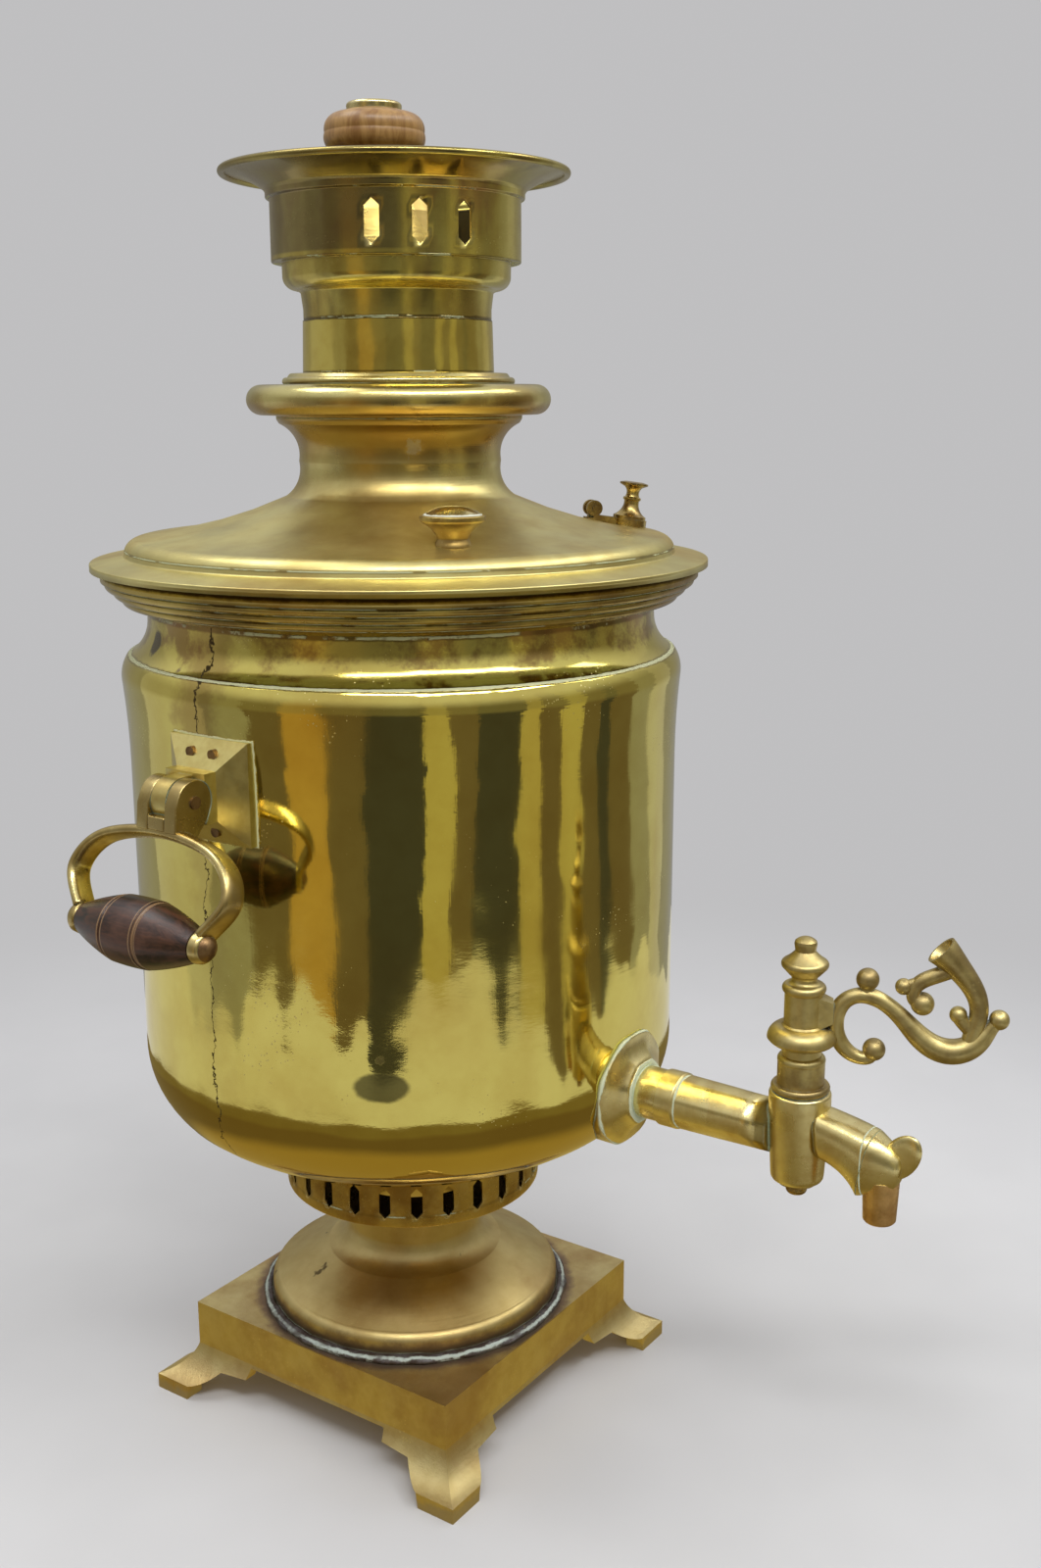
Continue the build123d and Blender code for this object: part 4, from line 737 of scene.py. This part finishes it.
crown_brass = tarnished_brass("crown_brass", (0.70, 0.60, 0.18), (0.42, 0.30, 0.08),
                              patches=(24.0, 0.42, 0.68, 0.75),
                              rough=(0.15, 0.27), dents=((24.0, 0.22),), turned=0.35, salts=0.6,
                              seam_and_shadow_lines=((448.4, 0.8, 0.7, 0.3), (469.2, 0.6, 0.5, 0.3), (492.0, 0.5, 0.35, 0.3)),
                              extra=heat_tints)
crown_slots = [-41.0 + 120 * group + 21.0 * step for group in range(3) for step in (-1, 0, 1)]
crown = pierced_piece(
    "crown_sheet",
    [([(47.6, 471.0), (47.6, 469.1), (43.7, 469.1), (43.6, 464.4), ((42.4, 460.9), (38.6, 459.2)),
       (36.9, 458.3),
       (36.1, 452.1), (36.1, 448.1), (34.7, 448.1), (34.7, 452.2), (35.4, 459.6),
       ((40.6, 461.7), (42.2, 465.0)),
       (42.2, 470.5), (46.2, 470.5), (46.2, 471.0)], 0.5),
     ([(47.6, 489.6), (47.6, 491.7), (49.1, 492.3), (49.1, 494.3), (49.8, 495.5),
       ((56.2, 499.3), (64.9, 501.5)),
       (64.9, 502.8), ((55.6, 500.6), (48.6, 496.4)), (47.7, 494.6), (47.7, 493.2), (46.2, 492.6),
       (46.2, 489.6)], 0.4)],
    47.6, 46.2, 471.0, 489.6, crown_slots, math.degrees(2.9 / 47.6), (472.6, 475.2, 485.6, 488.2),
)
fitted(crown, crown_brass, "crown", "crown", slot="crown_brass")
wire_path = [(65.0 + 1.4 * math.cos(0.26 * count),
              501.5 + 1.4 * math.sin(0.26 * count)) for count in range(24)]
fitted(turned("crown_wire_rim", wire_path + [wire_path[0]], soft=0.0), crown_brass, "crown", "crown_rim_wire",
       slot="crown_brass")
dress("crown_floor", crown_brass)


# Chimney cap: a hat of brass sheet over the flue, lifted off by a knob of turned wood.
# A stud holds the knob, with a brass button on top.
dress("cap_hat", ring_brass)
dress("cap_stud", knob_brass)


def turned_wood(name, dark, light, stretch, lines=()):
    """Turned hardwood: streaks of grain, dull wear in patches, and fine grooves cut round it while it
    turned."""
    finish = Finish(name, metallic=0.0)
    grain = finish.noise(150.0, 7.0, 0.68, stretch, 0.3, 0.7)
    colour = finish.mix(finish.fade(grain, 0.36, 0.68), dark, light)
    worn = finish.fade(finish.noise(38.0, 4.0, 0.6, shift=0.7), 0.52, 0.74, 0.0, 0.5)
    colour = finish.mix(worn, colour, tuple(min(1.0, value * 1.7 + 0.02) for value in light))
    shine = finish.maths("MULTIPLY_ADD", grain, 0.30, 0.20)
    shine = finish.maths("ADD", shine, finish.times(worn, 0.12))
    cut = None
    for place in lines:
        off = finish.away(finish.maths("ABSOLUTE", finish.axis("Y")), place * 0.001)
        line = finish.fade(off, 0.00012, 0.00042, 0.75, 0.0)
        cut = line if cut is None else finish.maths("MAXIMUM", cut, line)
    if cut is not None:
        colour = finish.mix(cut, colour, (0.32, 0.19, 0.09))
        finish.bump(cut, -0.0004, 0.8)
    finish.bump(grain, 0.0004, 0.25)
    finish.shader.inputs["Coat Weight"].default_value = 0.12
    finish.shader.inputs["Coat Roughness"].default_value = 0.3
    return finish.done(colour, shine)


knob_wood = turned_wood("knob_wood", (0.24, 0.115, 0.034), (0.43, 0.25, 0.085), (1.6, 1.6, 0.22))
knob = turned("turned_knob", [(0, 509.0), (14.2, 509.0), ((18.2, 511.2), (18.8, 516.0)),
                              ((17.8, 520.6), (13.2, 523.0)),
                              (10.6, 523.9), (0, 523.9)], soft=0.5, steps=96)
button = turned("brass_button",
                [(0, 523.4), (10.2, 523.4), (10.4, 525.3), ((10.1, 526.3), (8.8, 526.8)), (0, 527.2)],
                soft=0.25, steps=72)
for turned_piece in (knob, button):
    turned_piece.data.transform(Matrix.Translation((-0.0046, 0.0059, 0.0)))
fitted(knob, knob_wood, "cap", "cap_knob", slot="dark_wood")
fitted(button, bright_brass, "cap", "cap_button", slot="polished_brass")


# Carrying handles: cast brass plates riveted and soldered to the body, and bows of strap hinged to them.
# The grips are turned from dark wood, and a rod runs through each.
plate_brass = tarnished_brass("plate_brass", (0.76, 0.65, 0.25), (0.52, 0.36, 0.11),
                              patches=(50.0, 0.46, 0.70, 0.6),
                              rough=(0.28, 0.40), dents=((60.0, 0.06),), scratches=0.5, salts=0.95,
                              salt_tint=(0.58, 0.68, 0.50))
bow_brass = tarnished_brass("bow_brass", (0.80, 0.67, 0.30), (0.40, 0.29, 0.11),
                            patches=(30.0, 0.42, 0.60, 0.8),
                            rough=(0.20, 0.32), dents=((60.0, 0.05),), corner_shade_and_grime=0.8, salts=0.6,
                            salt_tint=(0.52, 0.60, 0.46))
dark_brass = tarnished_brass("rivet_brass", (0.30, 0.19, 0.09), (0.14, 0.08, 0.04),
                             patches=(200.0, 0.42, 0.62, 0.8),
                             rough=(0.40, 0.52), corner_shade_and_grime=0.9, salts=0.4)
grip_wood = turned_wood("grip_wood", (0.010, 0.005, 0.004), (0.075, 0.028, 0.014), (2.0, 0.35, 2.0),
                        lines=(6.9, 8.0, 9.1))


def ringed(runs):
    """The points and faces of some runs of rings, each run ended flat or, if closed, joined up with its own
    start."""
    verts, faces = [], []
    for rings, closed in runs:
        start, size = len(verts), len(rings[0])
        for ring in rings:
            verts += ring
        for level in range(len(rings) if closed else len(rings) - 1):
            low, high = start + level * size, start + (level + 1) % len(rings) * size
            for step in range(size):
                after = (step + 1) % size
                faces.append((low + step, low + after, high + after, high + step))
        if not closed:
            faces += [tuple(range(start, start + size)),
                      tuple(range(start + (len(rings) - 1) * size, len(verts)))]
    return verts, faces


def softened(piece, width):
    """Round off the sharp edges of a piece, before its normals are evened."""
    rounding = piece.modifiers.new("worn_edges", "BEVEL")
    rounding.width = width
    rounding.segments = 2
    rounding.angle_limit = math.radians(40)
    piece.modifiers.move(len(piece.modifiers) - 1, 0)


def bow_runs():
    """The strap's oval loop, the two ears of the hinge with the web between them, and the bosses at the
    grip's ends."""
    along = [(-29.75, -43.0), (-37.4, -29.5), (-26.93, -16.8), (0.0, -12.2), (26.93, -16.8), (37.4, -29.5),
             (29.75, -43.0)]
    line = []
    for count, (start, end) in enumerate(zip(along, along[1:])):
        before, beyond = Vector(along[max(0, count - 1)]), Vector(along[min(6, count + 2)])
        start, end = Vector(start), Vector(end)
        if count == 0:
            before = start - Vector((-0.9, 1.0)) * 12
        if count == 5:
            beyond = end - Vector((0.9, 1.0)) * 12
        for share in [step / 14 for step in range(14)]:
            line.append(0.5 * (2 * start + (end - before) * share
                               + (2 * before - 5 * start + 4 * end - beyond) * share ** 2
                               + (3 * start - 3 * end + beyond - before) * share ** 3))
    line.append(Vector(along[6]))
    strap = []
    for count, place in enumerate(line):
        ahead = (line[min(count + 1, len(line) - 1)] - line[max(count - 1, 0)]).normalized()
        ring = []
        for c, d in spokes(28):
            wide, thick = 4.9 * math.copysign(abs(c) ** 0.72, c), 2.15 * math.copysign(abs(d) ** 0.85, d)
            ring.append((wide, place.x - ahead.y * thick, place.y + ahead.x * thick))
        strap.append(ring)
    runs = [(strap, False)]
    arc = [(8.0 * math.cos(math.radians(turn)), 8.0 * math.sin(math.radians(turn))) for turn in range(0, 181,
                                                                                                      12)]
    cheek = arc + [(-8.0, -4.0), (-5.3, -12.4), (5.3, -12.4), (8.0, -4.0)]
    hollow = [(-8.25 * math.cos(math.radians(turn)), -8.25 * math.sin(math.radians(turn))) for turn in (52,
                                                                                                        61,
                                                                                                        70,
                                                                                                        80,
                                                                                                        90)]
    web = hollow + [(0.0, -12.2), (-5.3, -12.2), (-6.9, -8.0)]
    for start, end, shape in ((-9.5, -3.95, cheek), (3.95, 9.5, cheek), (-3.95, 3.95, web)):
        runs.append(([[(x, y, z) for x, z in shape] for y in (start, end)], False))
    for side in (-1, 1):
        boss = []
        for out, radius in ((27.5, 5.2), (27.7, 5.6), (28.6, 5.75), (30.6, 5.5), (31.6, 4.9), (32.0, 3.9)):
            boss.append([(radius * c, side * out, -47.0 + radius * d) for c, d in spokes(36)])
        runs.append((boss, False))
    return runs


for side, turn in (("left", 0.0), ("right", math.pi)):
    dress(f"handle_plate_{side}", plate_brass)
    dress(f"handle_rivets_{side}", dark_brass)
    dress(f"hinge_pin_{side}", dark_brass)
    bow = solid_piece(f"bow_{side}", *ringed(bow_runs()))
    swung = Matrix.Translation((-0.12788, 0.0, 0.2844)) @ Matrix.Rotation(math.radians(24.0), 4,
                                                                          "Y") @ Matrix.Scale(0.001, 4)
    bow.data.transform(Matrix.Rotation(turn, 4, "Z") @ swung)
    softened(bow, 0.0005)
    fitted(bow, bow_brass, f"handle_{side}", f"handle_bow_{side}", slot="cast_brass")
    dress(f"grip_rod_{side}", dark_brass)
    dress(f"handle_grip_{side}", grip_wood)


# Tap: cast in brass in several parts, filed, with a line of solder at each joint.
# A nut inside the wall holds it, and the nozzle is a redder metal.
def tap_joints(finish, colour, shine, green):
    """Pale green salts in the soldered joints of the tap, and round the flange where it beds on the wall."""
    ragged = finish.noise(170.0, 5.0, 0.75, shift=0.4)
    for place, width in ((-0.1156, 0.7), (-0.1331, 0.8), (-0.2076, 0.5)):
        off = finish.away(finish.axis("Y"), place)
        line = finish.fade(finish.maths("DIVIDE", off, finish.times(ragged, width * 0.001)), 0.7, 1.3, 0.9,
                           0.0)
        green = finish.maths("MAXIMUM", green, line)
    up = finish.maths("SUBTRACT", finish.axis("Z"), 0.158)
    out = finish.across(finish.axis("X"), up)
    edge = finish.fade(finish.maths("MULTIPLY_ADD", ragged, 0.0016, out), 0.0227, 0.0231, 0.0, 0.85)
    near = finish.times(finish.fade(finish.axis("Y"), -0.1125, -0.1115),
                        finish.fade(finish.axis("Y"), -0.1080, -0.1068, 1.0, 0.0))
    return colour, shine, finish.maths("MAXIMUM", green, finish.times(edge, near))


tap_brass = tarnished_brass("tap_brass", (0.88, 0.76, 0.36), (0.60, 0.42, 0.15),
                            patches=(40.0, 0.46, 0.72, 0.7),
                            rough=(0.24, 0.34), dents=((60.0, 0.05),), scratches=0.5, salts=0.95,
                            salt_tint=(0.60, 0.68, 0.52), extra=tap_joints)
nozzle_metal = tarnished_brass("nozzle_metal", (0.82, 0.55, 0.24), (0.52, 0.30, 0.12),
                               patches=(90.0, 0.42, 0.66, 0.8),
                               rough=(0.26, 0.4), pits=0.3, salts=0.4)


def tap_ring(reach, half_width, half_height=None, square=1.0, drop=0.0, lean=0.0, facet=0.0):
    """A ring of points square to the tap's line: round, softly eight-sided, or a rectangle with full
    corners."""
    ring, half_height = [], half_height or half_width
    for step, (c, d) in enumerate(spokes(64, 0.5)):
        turn = 2 * math.pi * (step + 0.5) / 64
        grow = 1 + facet * (1 / math.cos((turn + math.pi / 8) % (math.pi / 4) - math.pi / 8) - 1)
        up = half_height * grow * math.copysign(abs(d) ** square, d)
        ring.append((half_width * grow * math.copysign(abs(c) ** square, c) * 0.001,
                     -(reach + up * math.sin(lean)) * 0.001, (158.0 + drop + up * math.cos(lean)) * 0.001))
    return ring


def flange_rings():
    """The flange: a softly eight-sided plate bedded on the round wall, rising in facets to the shank."""
    wall = [(120.6, 59.0), (127.6, 85.4), (137.1, 99.4), (147.6, 106.2), (156.0, 108.5), (164.6, 109.4),
            (400.0, 109.4)]
    rings = []
    for half, facet, proud in ((8.1, 0.0, -0.4), (22.1, 0.5, -0.4), (22.2, 0.5, None), (21.8, 0.55, None)):
        ring = []
        for x, y, z in tap_ring(0.0, half, facet=facet):
            for (low, low_r), (high, high_r) in zip(wall, wall[1:]):
                if low <= z * 1000 <= high:
                    wall_r = low_r + (high_r - low_r) * (z * 1000 - low) / (high - low)
            surface = math.sqrt(wall_r ** 2 - (x * 1000) ** 2)
            if proud is None:
                front = max(surface + 1.0, 107.8) + (0.7 if half < 22.0 else 0.0)
            else:
                front = surface + proud
            ring.append((x, -front * 0.001, z))
        rings.append(ring)
    for half, reach, facet in ((19.0, 110.4, 0.7), (15.4, 112.0, 0.7), (12.9, 114.2, 0.7), (12.0, 115.4, 0.6),
                               (8.1, 115.5, 0.0)):
        rings.append(tap_ring(reach, half, facet=facet))
    return rings


shank = [(87.5, 8.0, 0), (115.2, 8.0, 0), (115.3, 10.1, 0), (124.4, 10.1, 0), (124.6, 10.3, 0),
         (124.8, 10.8, 0), (125.1, 10.9, 0),
         (131.8, 10.9, 0), (132.2, 10.8, 0), (132.7, 10.2, 0), (133.0, 9.8, 0.3), (133.4, 10.0, 0.6),
         (140.0, 9.9, 0.6),
         (150.0, 9.75, 0.6), (160.0, 9.55, 0.6), (170.9, 9.4, 0.6)]
spout = []
for count in range(12):
    reach = 189.2 + 18.1 * count / 11
    on = (reach - 184.0) / 23.5
    width, height, drop, lean = (
        first * (on - 0.468) * (on - 1) / 0.468 + middle * on * (1 - on) / 0.249
        + last * on * (on - 0.468) / 0.532
        for first, middle, last in ((8.2, 8.4, 9.0), (9.0, 9.6, 12.4), (3.0, 1.4, -4.6), (0.0, -8.0, 11.0))
    )
    spout.append(tap_ring(reach, width, height, 0.66, drop, math.radians(lean)))
spout.append(tap_ring(207.5, 8.6, 11.9, 0.66, -4.6, math.radians(11)))
housing = [(6.4, 139.5), (7.9, 139.5), (9.2, 140.3), (9.6, 141.0), (9.75, 142.0), (10.5, 155.0),
           (11.3, 169.5), (11.3, 173.4),
           (11.15, 174.0), (10.6, 174.4), (10.2, 174.5), (7.6, 174.5)]
housing_rings = []
for radius, z in housing:
    ring = [(radius * 0.001 * c, -0.180 + radius * 0.001 * d, z * 0.001) for c, d in spokes(64)]
    housing_rings.append(ring)
casting = solid_piece("tap_casting", *ringed([
    ([tap_ring(reach, half, facet=facet) for reach, half, facet in shank], False), (spout, False),
    (housing_rings, True),
]))
hood = [(207.5, 8.6, 11.9, -4.6), (207.9, 8.9, 12.3, -4.6), (211.5, 7.6, 10.5, -4.9), (215.5, 6.0, 8.6, -5.4),
        (218.0, 5.0, 7.0, -5.6),
        (219.2, 4.1, 5.6, -5.9), (219.8, 2.6, 3.4, -6.1)]
hood = [tap_ring(reach, width, height, 0.7, drop, math.radians(11)) for reach, width, height, drop in hood]
leaf = []
for count in range(17):
    across = math.pi * (count / 16 - 0.5)
    flat = max(0.02, math.cos(across)) ** 0.45
    ring = []
    for c, d in spokes(64):
        out, up = 6.4 * flat * c, 9.3 * flat * d
        ring.append((1.6 * math.sin(across) * 0.001, -(219.4 + out + 0.42 * up) * 0.001,
                     (158.6 + up * 0.96 - 0.2 * out) * 0.001))
    leaf.append(ring)
nose = solid_piece("tap_nose_and_leaf", *ringed([(hood, False), (leaf, False)]))
fitted(solid_piece("tap_flange_plate", *ringed([(flange_rings(), True)])), tap_brass, "vessel", "tap_flange",
       slot="cast_brass")
fitted(casting, tap_brass, "vessel", "tap_body", slot="cast_brass")
fitted(nose, tap_brass, "vessel", "tap_nose", slot="cast_brass")
dress("tap_nozzle", nozzle_metal)
for name in ("tap_back_nut", "tap_strainer", "plug_washer", "plug_nut"):
    dress(name, knob_brass)


# Tap plug and key: the tapered brass plug that shuts the tap, with its turned finial.
# The cast scroll by which it is turned is soldered to it.
key_brass = tarnished_brass("key_brass", (0.66, 0.55, 0.24), (0.36, 0.27, 0.12),
                            patches=(60.0, 0.40, 0.62, 0.85),
                            rough=(0.36, 0.46), pits=0.05, corner_shade_and_grime=0.9, salts=0.6, salt_tint=(0.56, 0.62, 0.54))
dress("tap_plug", key_brass)
dress("tap_key", key_brass)


# Floor and light: a round pale table top that fades to the grey of the backdrop, long ceiling lamps, and for
# the polished metal to mirror, a glowing sheet seen only in reflections, which paints the reflection of a
# brass basin round the foot and of a pale floor beyond it, and a room of dark and bright uprights.
backdrop_grey = (0.525, 0.522, 0.530, 1)
table = Finish("pale_table", metallic=0.0)
out = table.across(table.axis("X"), table.axis("Y"))
table.bump(table.noise(700.0, 3.0, 0.6), 0.0001, 0.2)
weave = table.noise(9.0, 3.0, 0.5)
table_top = table.done(table.mix(table.fade(weave, 0.3, 0.7), (0.58, 0.58, 0.59), (0.61, 0.61, 0.62)), 0.75)
blend = table.nodes.new("ShaderNodeMixShader")
table.links.new(table.fade(out, 0.30, 0.74), blend.inputs["Fac"])
table.links.new(table.shader.outputs["BSDF"], blend.inputs[1])
table.links.new(table.glow(backdrop_grey), blend.inputs[2])
table.links.new(blend.outputs["Shader"], table.nodes["Material Output"].inputs["Surface"])

# A glowing sheet, seen only in reflections: its dark brass middle with a golden ring paints the reflection of
# a basin round the foot, and its pale outer part paints the reflection of a pale floor.
sheet = Finish("painted_reflection_sheet", metallic=0.0)
out = sheet.across(sheet.axis("X"), sheet.axis("Y"))
out = sheet.frayed(out, 0.06, 3.0, 2.0, 0.5)
painted_basin_reflection = sheet.mix(sheet.fade(out, 0.20, 0.27), (0.44, 0.34, 0.11), (0.20, 0.155, 0.065))
reflection_glow = sheet.glow(sheet.mix(sheet.fade(out, 0.475, 0.485), painted_basin_reflection, (0.64, 0.63, 0.60)))
sheet.links.new(reflection_glow, sheet.nodes["Material Output"].inputs["Surface"])


def laid_flat(name, outline, material, height):
    """A flat sheet of the stage, from its outline in metres."""
    mesh = bpy.data.meshes.new(name)
    mesh.from_pydata([(x, y, height) for x, y in outline], [], [tuple(range(len(outline)))])
    mesh.materials.append(material)
    flat = bpy.data.objects.new(name, mesh)
    bpy.context.scene.collection.objects.link(flat)
    return flat


table_rim = [(0.80 * c, 0.80 * d) for c, d in spokes(96)]
table_disc = laid_flat("table_top", table_rim, table_top, 0.0)
table_disc.visible_glossy = False
# Outline of the glowing sheet that paints reflections; only glossy rays see it.
glow_outline = []
for count in range(180):
    angle = 2 * math.pi * count / 180
    reach = 0.50 + 0.15 * abs(math.sin(2.5 * angle + 0.4))
    reach += 0.07 * abs(math.sin(8.5 * angle))
    reach += 0.02 * math.sin(31 * angle)
    glow_outline.append((reach * math.cos(angle), reach * math.sin(angle)))
glow_sheet_object = laid_flat("painted_reflection_sheet", glow_outline, sheet.material, -0.0005)
for kind in ("camera", "diffuse", "transmission", "shadow"):
    setattr(glow_sheet_object, f"visible_{kind}", False)

world = bpy.data.worlds.new("studio")
bpy.context.scene.world = world
world.use_nodes = True
sky = Wiring(world.node_tree, "Generated")
bearing = sky.maths("ARCTAN2", sky.axis("X"), sky.maths("MULTIPLY", sky.axis("Y"), -1.0))
bearing = sky.frayed(sky.maths("SUBTRACT", bearing, 0.08), 0.16, 1.6, 3.0, 0.5, stretch=(3.0, 3.0, 14.0))
walls = sky.nodes.new("ShaderNodeValToRGB")
walls.color_ramp.interpolation = "CONSTANT"
sky.feed(walls.inputs["Fac"], sky.maths("MULTIPLY_ADD", bearing, 0.5 / math.pi, 0.5))
pale_window, grey_wall, straw_curtain = (0.50, 0.50, 0.50), (0.30, 0.30, 0.30), (0.45, 0.40, 0.20)
warm_wood, brown_shade, dark_doorway = (0.45, 0.30, 0.10), (0.15, 0.12, 0.08), (0.06, 0.06, 0.06)
# Six flat tones stand for what surrounds the table; each starts at a bearing in degrees.
uprights = (
    (-180, pale_window), (-140, grey_wall), (-120, brown_shade), (-100, warm_wood), (-85, brown_shade),
    (-70, dark_doorway), (-45, straw_curtain), (-35, brown_shade), (-25, dark_doorway), (-5, straw_curtain),
    (5, brown_shade), (15, straw_curtain), (25, brown_shade), (35, dark_doorway), (40, brown_shade),
    (55, grey_wall), (70, pale_window), (85, grey_wall),
)
for position, tone in uprights[2:]:
    walls.color_ramp.elements.new(position / 360 + 0.5)
for element, (position, tone) in zip(walls.color_ramp.elements, uprights):
    element.position = position / 360 + 0.5
    element.color = (*tone, 1)
haze = sky.fade(sky.axis("Z"), -0.17, -0.05, 0.0, 0.5, "LINEAR")
hazy_walls = sky.mix(haze, walls.outputs["Color"], (0.27, 0.25, 0.17))
room = sky.mix(sky.fade(sky.axis("Z"), 0.16, 0.62), hazy_walls, (0.66, 0.66, 0.68))
rays = sky.nodes.new("ShaderNodeLightPath")
seen = sky.maths("MAXIMUM", rays.outputs["Is Camera Ray"], rays.outputs["Is Transmission Ray"])
background = sky.nodes["Background"]
sky.feed(background.inputs["Color"], sky.mix(seen, room, backdrop_grey))
background.inputs["Strength"].default_value = 1.0


def ceiling_lamp(name, bearing_degrees, out, height, width, length, power, turn=0.0):
    """A long shaded lamp under the ceiling, at a bearing from -Y towards +X, hung level."""
    lamp = bpy.data.lights.new(name, "AREA")
    lamp.shape = "RECTANGLE"
    lamp.size, lamp.size_y = width, length
    lamp.energy = power
    holder = bpy.data.objects.new(name, lamp)
    angle = math.radians(bearing_degrees)
    holder.location = (out * math.sin(angle), -out * math.cos(angle), height)
    holder.rotation_euler = (0, 0, angle + math.radians(turn))
    bpy.context.scene.collection.objects.link(holder)


ceiling_lamp("near_lamp", -62.0, 1.15, 1.9, 0.22, 0.9, 11.0, 90.0)
ceiling_lamp("middle_lamp", -28.0, 1.3, 1.9, 0.22, 0.9, 11.0, 90.0)
ceiling_lamp("right_lamp", 12.0, 1.4, 1.9, 0.22, 0.9, 11.0, 90.0)
ceiling_lamp("far_lamp", -150.0, 0.9, 1.9, 0.9, 0.9, 9.0)
ceiling_lamp("side_lamp", 52.0, 1.3, 1.5, 0.6, 0.6, 4.0)


# Camera: a little above the lid, in front and to the left of the tap.
# Its lens is given by the focal length in pixels over the height of the frame.
camera_data = bpy.data.cameras.new("camera")
camera_data.sensor_width = 36.0
camera_data.lens = 1679.67 / 1600 * 36.0
camera_data.clip_start = 0.02
camera = bpy.data.objects.new("camera", camera_data)
bpy.context.scene.collection.objects.link(camera)
azimuth, yaw, pitch, roll = (math.radians(v) for v in (-51.3, 4.068, 13.31, -0.127))
turn = Matrix.Rotation(azimuth, 3, "Z")
ahead = turn @ Vector((math.sin(yaw) * math.cos(pitch), math.cos(yaw) * math.cos(pitch), -math.sin(pitch)))
side = turn @ Vector((math.cos(yaw), -math.sin(yaw), 0))
over = side.cross(ahead)
rolled_side = side * math.cos(roll) + over * math.sin(roll)
rolled_over = over * math.cos(roll) - side * math.sin(roll)
camera.rotation_mode = "QUATERNION"
camera.rotation_quaternion = Matrix((rolled_side, rolled_over, -ahead)).transposed().to_quaternion()
camera.location = turn @ Vector((0, -0.660, 0.4204))
bpy.context.scene.camera = camera
bpy.context.scene.view_settings.view_transform = "Standard"
